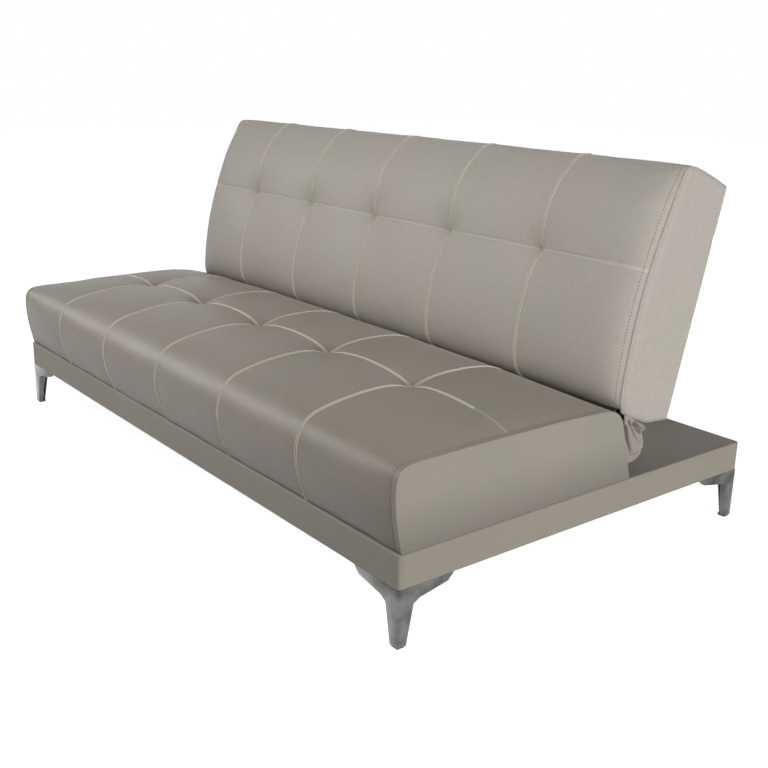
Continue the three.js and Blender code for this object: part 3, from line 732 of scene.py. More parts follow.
    def detail(self):
        """Sinks the sewn lines, gathers the cloth beside them and lets the panels wander a little."""
        x, run = np.meshgrid(self.fine_x, self.fine_run)
        seam, cross = self.seam_distance(x), np.abs(run - self.tuft_run)
        end = CUSHION_HALF - np.abs(x)
        strip, join = np.maximum(*(
            (1 / (1 + np.exp((gap - SEAM_STRIP) / SEAM_STRIP_EDGE)), np.exp(-(gap / SEAM_JOIN) ** 2))
            for gap in (seam, cross)
        ))
        height = -SEAM_GROOVE * (strip + 0.3 * join) * np.minimum(1, end / SEAM_END_FADE)
        hem = np.array([noise_at(place * 22, 4.5, 0) for place in self.fine_x])
        height += HEM_WAVE * hem * np.exp(-run / HEM_FADE)
        gather, drift = np.zeros_like(x), np.zeros_like(x)
        for at in np.ndindex(x.shape):
            drift[at] = waves(x[at], run[at], 0, (9, 23), 0.5)
            if seam[at] < PUCKER_REACH:
                gather[at] = noise_at(round(x[at] / PANEL) * 7, run[at] * 60, x[at] * 12)
        height += PUCKER * gather * np.exp(-seam / PUCKER_FADE) * np.minimum(1, seam / PUCKER_START)
        height += PANEL_DRIFT * drift * np.minimum(1, np.minimum(seam, end) / DRIFT_START)
        self.points = self.points + self.normals * height[:, :, None]
        self.normals = self.surface_normals()

    def paint_strips_light(self, piece, strip_cloth_painted_light):
        """Gives the flat strips along the sewn lines their own copy of the cloth, painted lighter as painted
        sheen.
        """
        piece.data.materials.append(strip_cloth_painted_light)
        x = 0.5 * (self.fine_x[1:] + self.fine_x[:-1])
        run = 0.5 * (self.fine_run[1:] + self.fine_run[:-1])
        flat = self.seam_distance(x)[None] < SEAM_STRIP
        flat = flat | (np.abs(run - self.tuft_run)[:, None] < SEAM_STRIP)
        chosen = np.zeros(len(piece.data.polygons), int)
        chosen[:flat.size] = flat.reshape(-1)
        piece.data.polygons.foreach_set("material_index", chosen)

    def piece(self, name, node, body, cloth, strip_cloth_painted_light, lining):
        """The cover with its wadding as one closed pad. The lining is its inside in side view."""
        inside = np.array([[(x, y, z) for x in seam_warp(self.fine_x)] for y, z in lining])
        points = np.concatenate([self.points, inside])
        rows, columns = points.shape[:2]
        last = (rows - 1) * columns
        faces = grid_faces(rows, columns)
        faces += [(c, last + c, last + c + 1, c + 1) for c in range(columns - 1)]
        faces.append([r * columns for r in range(rows)])
        faces.append([(r + 1) * columns - 1 for r in range(rows - 1, -1, -1)])
        piece = mesh_piece(name, points.reshape(-1, 3), faces, cloth, body)
        back_run = self.fine_run[-1] + LINING_STEP * np.arange(1, len(inside) + 1)
        set_place(piece, flat_places(self.fine_x, np.concatenate([self.fine_run, back_run])))
        piece.data.set_sharp_from_angle(angle=math.radians(55))
        # Painted sheen on the strips beside the seams
        self.paint_strips_light(piece, strip_cloth_painted_light)
        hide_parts(node)
        return piece

    def line_at(self, place, places, axis):
        """Points and normals of the surface along the line at one place, read between its grid lines."""
        index = np.interp(place, places, np.arange(len(places)))
        low = min(int(index), len(places) - 2)
        part = index - low
        return [
            np.take(grid, low, axis) * (1 - part) + np.take(grid, low + 1, axis) * part
            for grid in (self.points, self.normals)
        ]

    def along_seam(self, x):
        """Points and normals of the surface at one place along the sofa's length."""
        return self.line_at(x, self.fine_x, 1)

    def across_seam(self, offset):
        """Points and normals of the surface beside the cross seam."""
        return self.line_at(self.tuft_run + offset, self.fine_run, 0)


def paint_low_shade(piece, depth):
    """How light a seat's cloth is painted at each point: full above, and darker towards the deck as painted shade.
    """
    count = len(piece.data.vertices)
    points = np.zeros(count * 3)
    piece.data.vertices.foreach_get("co", points)
    raised = np.clip((points[2::3] - DECK_TOP) / LOW_SHADE_REACH, 0, 1)
    nap = piece.data.attributes.new("nap", "FLOAT", "POINT")
    nap.data.foreach_set("value", 1 - depth * (1 - raised) ** 1.2)


def stitch_row(points, normals, pitch, length, radius, lift, vertices, faces):
    """Stitches laid along a line: each a short rounded bar that dives into the cloth at both ends."""
    run = run_along(points)
    count = int(run[-1] / pitch)
    ring = np.linspace(0, 2 * math.pi, STITCH_SIDES, endpoint=False)
    for k in range(count):
        middle = (k + 0.5) * run[-1] / count
        centre = read_line(points, run, middle + np.array(STITCH_SHARES) * length)
        up = unit(read_line(normals, run, middle))
        aside = np.cross(unit(centre[-1] - centre[0]), up)
        first = len(vertices)
        for place, width, height in zip(centre, STITCH_WIDTH_SHARES, STITCH_HEIGHT_SHARES):
            core = place + up * (lift + height * radius)
            for angle in ring:
                vertices.append(core + (aside * math.cos(angle) + up * math.sin(angle)) * radius * width)
        for low in range(first, len(vertices) - STITCH_SIDES, STITCH_SIDES):
            high = low + STITCH_SIDES
            for a in range(STITCH_SIDES):
                b = (a + 1) % STITCH_SIDES
                faces.append((low + a, low + b, high + b, high + a))
        faces.append([first + a for a in reversed(range(STITCH_SIDES))])
        faces.append([len(vertices) - STITCH_SIDES + a for a in range(STITCH_SIDES)])


def stitching(name, body, thread, lines, pitch, length, radius, lift_share):
    """Rows of thread along lines on a quilt, raised by a share of the thread's radius, as one piece."""
    vertices, faces = [], []
    for points, normals in lines:
        stitch_row(points, normals, pitch, length, radius, lift_share * radius, vertices, faces)
    return mesh_piece(name, vertices, faces, thread, body)


def seam_stitching(quilt, name, body, spread, radius):
    """Twin rows of cream thread beside each long seam."""
    lines = [
        quilt.along_seam(seam * PANEL - CUSHION_HALF + side * spread)
        for seam in range(1, PANEL_COUNT) for _, side in SIDES
    ]
    return stitching(name, body, CREAM_THREAD, lines, STITCH_PITCH, STITCH_LENGTH, radius, 0.4)


def cross_stitching(quilt, name, body, thread, spread, radius):
    """Twin rows of thread beside the cross seam, which end before the cushion's rounded ends."""
    lines = []
    for _, side in SIDES:
        points, normals = quilt.across_seam(side * spread)
        inside = np.abs(points[:, 0]) < CUSHION_HALF - CROSS_STITCH_INSET
        lines.append((points[inside], normals[inside]))
    return stitching(name, body, thread, lines, STITCH_PITCH, STITCH_LENGTH, radius, 0.3)


def end_stitching(quilt, name, body, inset, pitch, length):
    """A row of thread beside each end seam, in the cover's tone painted darker as painted shade of the gathers at
    its stitches.
    """
    lines = [quilt.along_seam(side * (CUSHION_HALF - inset)) for _, side in SIDES]
    return stitching(name, body, SHADED_TONAL_THREAD, lines, pitch, length, END_THREAD_RADIUS, 0)


def across_line(first, last, value, known):
    """The other coordinate of the point of a line whose known coordinate, 0 or 1, has a value."""
    share = (value - first[known]) / (last[known] - first[known])
    return first[1 - known] + share * (last[1 - known] - first[1 - known])


def seat_lining():
    """The inside of the seat's cover: down the rear lip, under the pad and down behind the front roll."""
    first, last = (np.array(row[:2]) * (SEAT_DEPTH, SEAT_SEAM_HEIGHT)
                   for row in (SEAT_ROW_SHARES[0], SEAT_ROW_SHARES[-1]))
    lip = SEAT_DEPTH - SEAT_REAR_LIP
    return [
        seat_place(lip, across_line(first, last, lip, 0)), seat_place(lip, SEAT_PAD_UNDERSIDE),
        seat_place(SEAT_FRONT_PADDING, SEAT_PAD_UNDERSIDE),
        seat_place(SEAT_FRONT_PADDING, across_line(first, last, SEAT_FRONT_PADDING, 0)),
    ]


def back_lining():
    """The inside of the back's cover: along the top rail and down behind the face."""
    first, last = (np.array(row[:2]) * (BACK_TOP_DEPTH, BACK_HEIGHT)
                   for row in (BACK_ROW_SHARES[0], BACK_ROW_SHARES[-1]))
    top = BACK_HEIGHT - BACK_TOP_PADDING
    return [
        back_place(across_line(first, last, top, 1), top), back_place(BACK_FACE_PADDING, top),
        back_place(BACK_FACE_PADDING, across_line(first, last, BACK_FACE_PADDING, 0)),
    ]


seat_quilt = Quilt(
    SEAT_ROW_SHARES, SEAT_DEPTH, SEAT_SEAM_HEIGHT, SEAT_CROWN, SEAT_TUFT_ROW, seat_place,
    tuft=(33 * MM, 40 * MM), channel=3 * MM, ends=(30 * MM, 0.22),
)
back_quilt = Quilt(
    BACK_ROW_SHARES, BACK_TOP_DEPTH, BACK_HEIGHT, BACK_CROWN, BACK_TUFT_ROW, back_place,
    tuft=(32 * MM, 44 * MM), channel=2.5 * MM, ends=(18 * MM, 0.45),
)
for quilt, body, cloth, strip_cloth_painted_light, lining in (
    (seat_quilt, "seat", SEAT_CLOTH, SEAT_STRIP_PAINTED_LIGHT, seat_lining()),
    (back_quilt, "back", BACK_CLOTH, BACK_STRIP_PAINTED_LIGHT, back_lining()),
):
    quilt.fill()
    quilt.refine()
    quilt.detail()
    quilt.piece(f"{body}_quilt_cover", f"{body}_quilt", body, cloth, strip_cloth_painted_light, lining)
# Painted shade on the seat's cover, darker towards the deck
paint_low_shade(bpy.data.objects["seat_quilt_cover"], depth=0.5)
for quilt, body in ((seat_quilt, "seat"), (back_quilt, "back")):
    seam_stitching(quilt, f"{body}_seam_stitching", body, spread=3.1 * MM, radius=1.3 * MM)
cross_stitching(seat_quilt, "seat_cross_stitching", "seat", CREAM_THREAD, spread=2.9 * MM, radius=1.2 * MM)
cross_stitching(back_quilt, "back_cross_stitching", "back", PALE_THREAD, spread=3.8 * MM, radius=0.7 * MM)


# Side panels
def coons(front, rear, bottom, top):
    """A grid that fills the space between four curves, of which front and rear run from bottom to top."""
    u = np.linspace(0, 1, len(bottom))[None, :, None]
    v = np.linspace(0, 1, len(front))[:, None, None]
    edges = (1 - v) * bottom[None] + v * top[None] + (1 - u) * front[:, None] + u * rear[:, None]
    corners = ((1 - u) * (1 - v) * bottom[0] + u * (1 - v) * bottom[-1]
               + (1 - u) * v * top[0] + u * v * top[-1])
    return edges - corners


def spread_out(count, crowding):
    """Shares from 0 to 1 that lie closer together near both ends."""
    even = np.linspace(0, 1, count)
    return even - crowding * np.sin(2 * math.pi * even) / (2 * math.pi)


def edge_distance(points, outline):
    """The distance of each point of a grid from a closed outline."""
    closed = np.concatenate([outline, outline[:1]])
    flat = points.reshape(-1, 1, 2)
    start, way = closed[:-1][None], np.diff(closed, axis=0)[None]
    share = np.clip(np.sum((flat - start) * way, axis=2) / np.sum(way * way, axis=2), 0, 1)
    gap = np.linalg.norm(flat - start - share[:, :, None] * way, axis=2)
    return gap.min(axis=1).reshape(points.shape[:-1])


def side_panel(name, node, body, cloths, side, curves, edge_share, roll, seed):
    """A padded end of a cushion: flat on its frame, and turned in where it is sewn to the cover."""
    rows, columns = spread_out(44, 0.88), spread_out(64, 0.93)
    front, rear = (resampled(curve, rows) for curve in curves[:2])
    bottom, top = (resampled(curve, columns) for curve in curves[2:])
    grid = coons(front, rear, bottom, top)
    outline = np.concatenate([bottom[:-1], rear[:-1], top[:0:-1], front[:0:-1]])
    inside = edge_distance(grid, outline)
    dome = PANEL_FLAT_SHARE - (PANEL_FLAT_SHARE - edge_share) * np.exp(-inside / roll)
    dome += (1 - PANEL_FLAT_SHARE) * np.minimum(1, inside / PANEL_SLOPE)
    wander = np.array([waves(y, z, seed, (7, 16), 0.5) for y, z in grid.reshape(-1, 2)])
    wander = np.abs(wander.reshape(inside.shape)) * np.minimum(1, inside / PANEL_WANDER_START)
    topstitch = np.exp(-((inside - TOPSTITCH_INSET) / TOPSTITCH_WIDTH) ** 2)
    thickness = dome * (PANEL_THICKNESS - SEAMING_GAP) - PANEL_WANDER * wander - TOPSTITCH_WIDTH * topstitch
    start = CUSHION_HALF + SEAMING_GAP
    outer = np.dstack([side * (start + thickness), grid])
    inner = np.dstack([np.full(inside.shape, side * start), grid])
    count = inside.size
    faces = grid_faces(*inside.shape)
    faces += [tuple(count + k for k in face[::-1]) for face in faces]
    index = np.arange(count).reshape(inside.shape)
    rim = np.concatenate([index[0, :-1], index[:-1, -1], index[-1, :0:-1], index[:0:-1, 0]])
    faces += [(a, b, count + b, count + a) for a, b in zip(rim, np.roll(rim, -1))]
    points = np.concatenate([outer.reshape(-1, 3), inner.reshape(-1, 3)])
    piece = mesh_piece(name, points, faces, cloths[0], body)
    piece.data.materials.append(cloths[1])
    turned_in = np.arange(len(faces)) >= len(faces) - len(rim)
    piece.data.polygons.foreach_set("material_index", turned_in.astype(int))
    set_place(piece, points[:, [1, 2, 0]])
    piece.data.set_sharp_from_angle(angle=math.radians(60))
    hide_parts(node)
    return piece


def side_curve(quilt, first, last):
    """A stretch of a quilt's edge in side view, from one of its given rows to another."""
    runs = quilt.row_runs[[first, last]]
    inside = (quilt.run > runs[0]) & (quilt.run < runs[1])
    ends = read_line(quilt.side, quilt.run, runs)
    return np.concatenate([ends[:1], quilt.side[inside], ends[1:]])


def build_side_panels():
    """The four ends of the cushions."""
    deck = DECK_TOP + CLOTH_GAP
    heel = np.array([HINGE_Y, deck])
    toe = np.array([seat_quilt.side[0][0], deck])
    seat_curves = (
        np.concatenate([[toe], side_curve(seat_quilt, 0, 4)]),
        np.array([heel, seat_quilt.side[-1]]), np.array([toe, heel]), side_curve(seat_quilt, 4, 15),
    )
    back_heel, back_knee = np.array(back_place(*BACK_HEEL)), np.array(back_place(*BACK_KNEE))
    back_curves = (
        np.concatenate([side_curve(back_quilt, 0, 1)[:-1], side_curve(back_quilt, 1, 13)]),
        np.array([back_heel, back_quilt.side[-1]]),
        np.array([back_quilt.side[0], *BACK_HANG, back_knee, back_heel]), side_curve(back_quilt, 13, 16),
    )
    for label, side in SIDES:
        end = side_panel(f"seat_end_{label}", f"seat_side_panel_{label}", "seat",
                         (SEAT_END_CLOTH, SEAT_CLOTH), side, seat_curves,
                         edge_share=PANEL_FLAT_SHARE, roll=1.5 * MM, seed=side)
        # Painted shade on the seat's ends, darker towards the deck
        paint_low_shade(end, depth=0.35)
        side_panel(f"back_end_{label}", f"back_side_panel_{label}", "back", (BACK_CLOTH, BACK_CLOTH), side,
                   back_curves, edge_share=0.25, roll=7 * MM, seed=side + 5)


# Thin cloth over boards
def cloth_skin(name, node, body, grid, places, thickness, material):
    """A stretched sheet from a grid of points in its middle, with its own thickness round them."""
    piece = grid_piece(name, grid, material, body)
    set_place(piece, places)
    thicken(piece, thickness)
    piece.data.set_sharp_from_angle(angle=math.radians(60))
    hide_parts(node)
    return piece


def plinth_band(name, node, plan):
    """A band of cloth round the plinth, with a softly folded top edge. Each point of its plan has a place
    and the way out."""
    path, outward = np.split(np.asarray(plan, float), 2, axis=1)
    half = CLOTH_THICKNESS / 2
    low, fold_start = PLINTH_BOTTOM + half, DECK_TOP - half - PLINTH_FOLD
    turn = np.linspace(0, math.pi / 2, 6)
    profile = [(0.0, z) for z in np.linspace(low, fold_start, 12)]
    profile += [
        (PLINTH_FOLD * (1 - math.cos(a)), fold_start + PLINTH_FOLD * math.sin(a)) for a in turn[1:]
    ]
    run = run_along(path)
    grid = np.zeros((len(profile), len(path), 3))
    for r, c in np.ndindex(grid.shape[:2]):
        inward, z = profile[r]
        ripple = BAND_RIPPLE * noise_at(run[c] * 14, z * 18, path[0].sum())
        grid[r, c] = (*(path[c] - outward[c] * (inward + half + max(0.0, ripple))), z)
    girth = DECK_TOP - half - PLINTH_BOTTOM + 2 * PLINTH_FOLD
    places = flat_places(run, np.linspace(0, girth, len(profile)))
    return cloth_skin(name, node, "plinth", grid, places, CLOTH_THICKNESS, PLINTH_CLOTH)


def end_plan(y, sign):
    """The plan of a band across the plinth's front or rear, which turns a little way round both corners:
    the place of each point and the way out from it."""
    radius = PLINTH_CORNER
    start = HALF_LENGTH - radius
    corner = [(-HALF_LENGTH, y - sign * PLINTH_WRAP, -1, 0)]
    for a in np.linspace(0, math.pi / 2, 6):
        corner.append((
            -start - radius * math.cos(a), y - sign * radius * (1 - math.sin(a)),
            -math.cos(a), sign * math.sin(a),
        ))
    straight = [(x, y, 0, sign) for x in np.linspace(-start, start, 120)[1:-1]]
    return corner + straight + [(-x, y, -out_x, out_y) for x, y, out_x, out_y in reversed(corner)]


def flat_grid(x_limits, y_limits, z, sag, counts):
    """A level sheet that wanders a little between its held edges."""
    xs, ys = (np.linspace(*limits, count) for limits, count in zip((x_limits, y_limits), counts))
    grid = np.zeros((len(ys), len(xs), 3))
    for r, y in enumerate(ys):
        for c, x in enumerate(xs):
            edge = min(x - xs[0], xs[-1] - x, y - ys[0], ys[-1] - y)
            wave = waves(x, y, 7, (5, 15), 0.4)
            grid[r, c] = (x, y, z + sag * wave * min(1.0, edge / LINING_SAG_START))
    return grid


def build_plinth_bands():
    """The four bands of cloth round the plinth."""
    reach = np.linspace(
        PLINTH_FRONT + PLINTH_WRAP + SEAMING_GAP, PLINTH_REAR - PLINTH_WRAP - SEAMING_GAP, 90)
    plans = {"front": end_plan(PLINTH_FRONT, -1), "rear": end_plan(PLINTH_REAR, 1)}
    for label, side in SIDES:
        plans[label] = [(side * HALF_LENGTH, y, side, 0) for y in reach]
    for label, plan in plans.items():
        plinth_band(f"plinth_band_{label}", f"plinth_cover_{label}", plan)


def build_level_cloth():
    """The cloth on the deck, which shows small dents, and the linings under the plinth and the seat."""
    edge = PLINTH_FOLD + CLOTH_THICKNESS / 2 + SEAMING_GAP
    x_limits = (-HALF_LENGTH + edge, HALF_LENGTH - edge)
    y_limits = (PLINTH_FRONT + edge, PLINTH_REAR - edge)
    top = flat_grid(x_limits, y_limits, DECK_TOP - CLOTH_THICKNESS / 2, 0.0, (91, 53))
    for point in top.reshape(-1, 3):
        point[2] -= DECK_DENT * abs(noise_at(point[0] * 6, point[1] * 6, 3))
    cloth_skin("plinth_top_cloth", "plinth_top_cover", "plinth", top, top.reshape(-1, 3), CLOTH_THICKNESS,
               PLINTH_CLOTH)
    for body in ("plinth", "seat"):
        low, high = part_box(f"{body}_dust_cloth")
        sheet = flat_grid((low.x, high.x), (low.y, high.y), (low.z + high.z) / 2, LINING_SAG, (73, 45))
        cloth_skin(f"{body}_underside_cloth", f"{body}_dust_cloth", body, sheet, sheet.reshape(-1, 3),
                   LINING_THICKNESS, LINING)


def sloped_grid(profile, half, seed):
    """A sheet that runs along the sofa, from a profile in side view, with a little slack."""
    line = resampled(profile, np.linspace(0, 1, 41))
    way = np.gradient(line, axis=0)
    out = unit(np.stack([way[:, 1], -way[:, 0]], axis=1))
    xs = np.linspace(-half, half, 121)
    grid = np.zeros((len(line), len(xs), 3))
    for r, (y, z) in enumerate(line):
        for c, x in enumerate(xs):
            edge = min(half - abs(x), 5 * MM * min(r, len(line) - 1 - r))
            wave = noise_at(x * 5, y * 9, z * 9 + seed)
            shift = REAR_SLACK * (abs(wave) + 0.3) * min(1.0, edge / REAR_SLACK_START)
            grid[r, c] = (x, *(line[r] - out[r] * shift))
    run = run_along(line)
    return grid, flat_places(xs, run), float(run[-1])


def build_rear_panels():
    """The plain cloth behind the back, under it and behind the seat."""
    half = CLOTH_THICKNESS / 2
    back_heel, back_top = (np.array(p) for p in (back_place(*BACK_HEEL), back_quilt.side[-1]))
    hem = back_heel + REAR_HEM * (back_top - back_heel) / np.linalg.norm(back_top - back_heel)
    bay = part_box("back_bottom_panel")[1].x
    knee, toe = np.array(back_place(*BACK_KNEE)), back_quilt.side[0]
    seat_low = np.array([HINGE_Y, DECK_TOP + CLOTH_GAP])
    for name, node, body, profile, reach, shift, seed, rails in (
        ("back_rear_cloth", "back_rear_panel", "back", [hem, back_top], CUSHION_HALF, (-half, 0), 2,
         ["back_top_rail", "back_bottom_rail"]),
        ("back_underside_cloth", "back_bottom_panel", "back", [toe, knee, back_heel], bay, (0, half), 4,
         ["back_bottom_rail"]),
        ("seat_rear_cloth", "seat_rear_panel", "seat", [seat_low, seat_quilt.side[-1]], bay, (-half, 0), 6,
         ["seat_foam"]),
    ):
        grid, places, length = sloped_grid(np.array(profile) + shift, reach, seed)
        cloth_skin(name, node, body, grid, places, REAR_THICKNESS, COVER)


build_side_panels()
end_stitching(seat_quilt, "seat_end_stitching", "seat", inset=2.2 * MM, pitch=6.5 * MM, length=3.6 * MM)
end_stitching(back_quilt, "back_end_stitching", "back", inset=8 * MM, pitch=7.0 * MM, length=3.8 * MM)
build_plinth_bands()
build_level_cloth()
build_rear_panels()


# Hard pieces: the frame's own solids with their edges eased
def eased(name, width, material):
    """A copy of a CAD piece with softened edges, which takes its place."""
    body = next(label for label, nodes in frame["record"]["behaviour"]["bodies"].items() if name in nodes)
    shape = bmesh.new()
    shape.from_mesh(frame["nodes"][name].data)
    bmesh.ops.remove_doubles(shape, verts=shape.verts, dist=0.02 * MM)
    bmesh.ops.dissolve_limit(shape, angle_limit=math.radians(2), verts=shape.verts, edges=shape.edges)
    sharp = [e for e in shape.edges if e.is_manifold and e.calc_face_angle(0) > math.radians(28)]
    bmesh.ops.bevel(shape, geom=sharp, offset=width, segments=2, profile=0.5, affect="EDGES",
                    clamp_overlap=True)
    bmesh.ops.recalc_face_normals(shape, faces=shape.faces)
    mesh = bpy.data.meshes.new(f"{name}_eased")
    shape.to_mesh(mesh)
    shape.free()
    mesh.shade_smooth()
    mesh.set_sharp_from_angle(angle=math.radians(40))
    mesh.materials.append(material)
    piece = add_object(f"{name}_eased", mesh)
    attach(piece, body)
    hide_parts(name)
    return piece


EDGES = {"chrome": 0.5 * MM, "steel": 0.5 * MM, "timber": 1.5 * MM, "glide": 0.6 * MM, "foam": 4 * MM}
FINISHES = {"timber": SOFTWOOD, "steel": ZINC, "chrome": CHROME, "glide": GLIDE, "foam": FOAM}


def build_hard_pieces():
    """Timber, metal, plastic and foam."""
    for part in frame["record"]["subparts"]:
        name, kind = part["node"], part["material_slot"]
        if kind in EDGES:
            finish = PLYWOOD if name == "plinth_deck" else FINISHES[kind]
            piece = eased(name, EDGES[kind], finish)


build_hard_pieces()


# Gusset
def nearest_share(point, start, end):
    """How far a point lies from a straight line in side view, and where along it, from 0 to 1."""
    way = end - start
    share = float(np.clip(np.dot(point - start, way) / np.dot(way, way), 0, 1))
    return float(np.linalg.norm(point - start - share * way)), share


def crumpled_end(label, side):
    """The loose cloth that bulges out between the seat and the back at one end, gathered at the hinge."""
    low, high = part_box(f"gusset_end_{label}")
    near, far = sorted((abs(low.x), abs(high.x)))
    middle, half = (near + far) / 2, (far - near) / 2
    corner = np.array((low.y, low.z))
    gather = corner + np.array(CRUMPLE_GATHER) * MM
    rim = even_curve(corner + np.array(CRUMPLE_OUTLINE) * MM, 91)
    creases = [(corner + np.array(ends) * MM, width * MM, depth) for ends, width, depth in CRUMPLE_CREASES]
    out_shares = np.concatenate([np.linspace(0.02, 1, CRUMPLE_STEPS), [1.0] * len(CRUMPLE_TURN_SHARES)])
    bulge_shares = np.concatenate([
        np.sqrt(1 - np.linspace(0, 1, CRUMPLE_STEPS) ** 6), CRUMPLE_TURN_SHARES,
    ])
    bulge_shares[CRUMPLE_STEPS - 1] = 0.05
    grid = np.zeros((len(rim), len(out_shares), 3))
    for r, edge in enumerate(rim):
        for c, (share, bulge) in enumerate(zip(out_shares, bulge_shares)):
            place = gather + (edge - gather) * share
            level = 0.94 + 0.10 * noise_at(place[0] * 30, place[1] * 30, 4 * side)
            for (start, end), width, depth in creases:
                gap, along = nearest_share(place, start, end)
                level -= depth * math.exp(-(gap / width) ** 2) * (1 - 0.5 * along)
            x = middle + half * (bulge if bulge <= 0.05 else bulge * max(-0.9, 2 * level - 1))
            grid[r, c] = (side * x, *place)
    piece = grid_piece(f"gusset_crumple_{label}", grid, COVER, "plinth")
    x, y, z = grid.reshape(-1, 3).T
    set_place(piece, np.stack([y + x, z, x], axis=1))
    thicken(piece, CLOTH_THICKNESS, -1)
    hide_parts(f"gusset_end_{label}")
    return piece


def gusset_sheet():
    """The slack cloth that closes the gap between the seat and the back."""
    low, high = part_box("gusset_band")
    start, end = np.array((low.y + 1.5 * MM, high.z - 2 * MM)), np.array((high.y - 2 * MM, high.z - 4 * MM))
    bottom = np.array(((low.y + high.y) / 2 - 8 * MM, low.z + 6 * MM))
    line = even_curve(np.array([
        start, (start + bottom) / 2 - (2 * MM, 6 * MM), bottom, (end + bottom) / 2 + (2 * MM, -6 * MM), end,
    ]), 37)
    xs = np.linspace(low.x, high.x, 241)
    grid = np.zeros((len(line), len(xs), 3))
    for r, (y, z) in enumerate(line):
        held = math.sin(math.pi * r / (len(line) - 1))
        for c, x in enumerate(xs):
            ripple = noise_at(x * 9, r * 0.05, 2.5) + 0.4 * noise_at(x * 28, r * 0.09, 1)
            grid[r, c] = (x, y + 3 * MM * held * ripple, z + 4 * MM * held * abs(ripple))
    run = run_along(line)
    piece = grid_piece("gusset_cloth", grid, COVER, "plinth")
    set_place(piece, flat_places(xs, run))
    thicken(piece, CLOTH_THICKNESS)
    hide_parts("gusset_band")
    return piece


for gusset in (gusset_sheet(), *(crumpled_end(label, side) for label, side in SIDES)):
    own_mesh(gusset)


# Stage, lights and camera
PHOTO_SIZE = 768
CAMERA_PLACE = (2.197, -1.074 + PLINTH_FRONT, 1.028)
CAMERA_AZIMUTH, CAMERA_ELEVATION, CAMERA_ROLL = (math.radians(a) for a in (51.294, 16.471, 1.371))
FOCAL_PIXELS = 1040.01
CENTRE_PIXELS = (388.521, 373.923)
ROOM_STRENGTH = 0.1
FLOOR_REACH = 14.0
FLOOR_GLOW = 0.92
LEFT_LAMP_STAND = {"place": (-3.6, -2.8, 2.0), "target": (0, 0, 0.4), "size": (2.0, 1.0)}


def add_camera():
    """The camera at the photograph's place and angle."""
    data = bpy.data.cameras.new("photo_camera")
    data.sensor_width = 36.0
    data.lens = FOCAL_PIXELS / PHOTO_SIZE * data.sensor_width
    data.shift_x = (PHOTO_SIZE / 2 - CENTRE_PIXELS[0]) / PHOTO_SIZE
    data.shift_y = (CENTRE_PIXELS[1] - PHOTO_SIZE / 2) / PHOTO_SIZE
    data.clip_start = 0.05
    camera = add_object("photo_camera", data)
    level = Vector((math.cos(CAMERA_AZIMUTH), math.sin(CAMERA_AZIMUTH), 0))
    inward = Vector((-math.sin(CAMERA_AZIMUTH), math.cos(CAMERA_AZIMUTH), 0))
    ahead = inward * math.cos(CAMERA_ELEVATION) - Vector((0, 0, math.sin(CAMERA_ELEVATION)))
    upward = level.cross(ahead)
    right = level * math.cos(CAMERA_ROLL) + upward * math.sin(CAMERA_ROLL)
    upward = upward * math.cos(CAMERA_ROLL) - level * math.sin(CAMERA_ROLL)
    camera.matrix_world = Matrix((
        (right.x, upward.x, -ahead.x, CAMERA_PLACE[0]), (right.y, upward.y, -ahead.y, CAMERA_PLACE[1]),
        (right.z, upward.z, -ahead.z, CAMERA_PLACE[2]), (0, 0, 0, 1),
    ))
    bpy.context.scene.camera = camera
    return camera


def add_area(name, place, target, size, watts):
    """A soft lamp aimed at a point."""
    data = bpy.data.lights.new(name, "AREA")
    data.shape = "RECTANGLE"
    data.size, data.size_y = size
    data.energy = watts
    lamp = add_object(name, data)
    lamp.location = place
    lamp.rotation_mode = "QUATERNION"
    lamp.rotation_quaternion = (Vector(place) - Vector(target)).to_track_quat("Z", "Y")
    return lamp


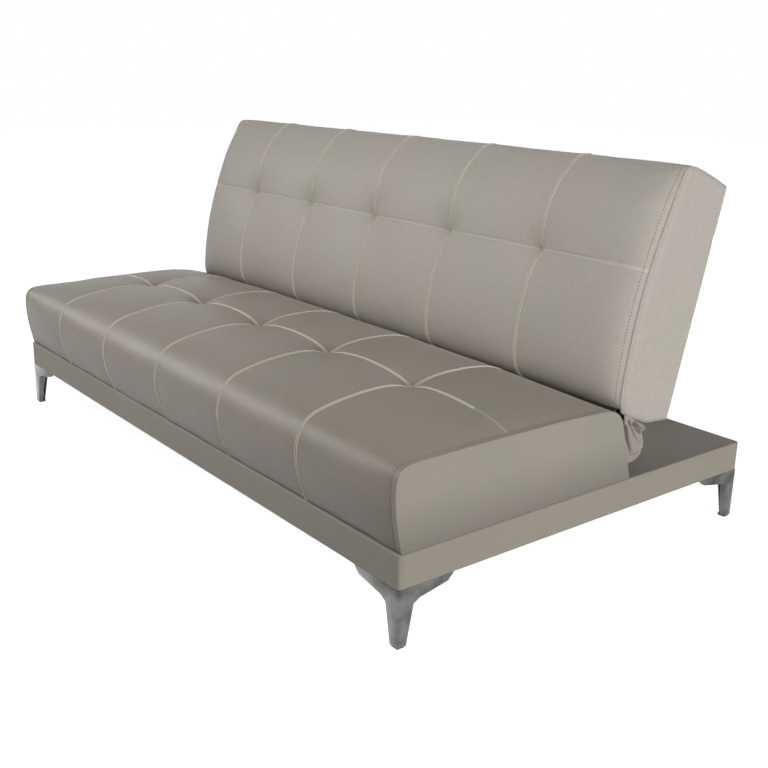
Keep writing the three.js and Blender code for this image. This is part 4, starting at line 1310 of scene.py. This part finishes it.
def seen_plainly(tree):
    """1 where the camera sees something directly, in a mirror or through glass, and 0 for other light."""
    rays = add_node(tree, "ShaderNodeLightPath").outputs
    seen = calc(tree, "MAXIMUM", rays["Is Camera Ray"], rays["Is Glossy Ray"])
    return calc(tree, "MAXIMUM", seen, rays["Is Transmission Ray"])


def build_world():
    """A white room to look at, and a plain grey one to light by."""
    world = bpy.data.worlds.new("studio")
    bpy.context.scene.world = world
    world.use_nodes = True
    tree = world.node_tree
    tree.nodes.clear()
    room, shown = (
        add_node(tree, "ShaderNodeBackground", (), {"Color": (1, 1, 1, 1), "Strength": strength}).outputs[0]
        for strength in (ROOM_STRENGTH, 1.0)
    )
    both = add_node(tree, "ShaderNodeMixShader", (), {0: seen_plainly(tree), 1: room, 2: shown})
    out = add_node(tree, "ShaderNodeOutputWorld")
    tree.links.new(both.outputs[0], out.inputs[0])


def build_floor():
    """A wide pale floor that keeps the sofa's soft shadow."""
    mesh = bpy.data.meshes.new("floor")
    corners = [(x * FLOOR_REACH, y * FLOOR_REACH, 0) for x, y in ((-1, -1), (1, -1), (1, 1), (-1, 1))]
    mesh.from_pydata(corners, [], [(0, 1, 2, 3)])
    floor = add_object("floor", mesh)
    material, tree, shader = new_material(
        "pale_floor", Roughness=0.9, Specular_IOR_Level=0.0, Emission_Color=(1, 1, 1, 1))
    seen = seen_plainly(tree)
    tone = mixed(tree, seen, (0.2, 0.2, 0.2, 1), (0.95, 0.95, 0.95, 1))
    tree.links.new(tone, shader.inputs["Base Color"])
    tree.links.new(calc(tree, "MULTIPLY", seen, FLOOR_GLOW), shader.inputs["Emission Strength"])
    mesh.materials.append(material)
    return floor


add_camera()
build_world()
build_floor()
add_area("side_lamp", place=(5.0, 0.0, 0.75), target=(0, 0, 0.4), size=(2.0, 0.7), watts=140)
add_area("front_lamp", place=(0.2, -2.4, 2.8), target=(0.2, 0.2, 0.5), size=(0.8, 0.8), watts=50)
add_area("left_lamp", **LEFT_LAMP_STAND, watts=26)
add_area("rear_lamp", place=(-1.5, 4.6, 0.1), target=(0, 0.4, 0.5), size=(2.4, 0.16), watts=40)
satin_lamp = add_area("satin_lamp", **LEFT_LAMP_STAND, watts=80)
satin_lamp.visible_diffuse = False
bpy.context.scene.view_settings.view_transform = "Standard"
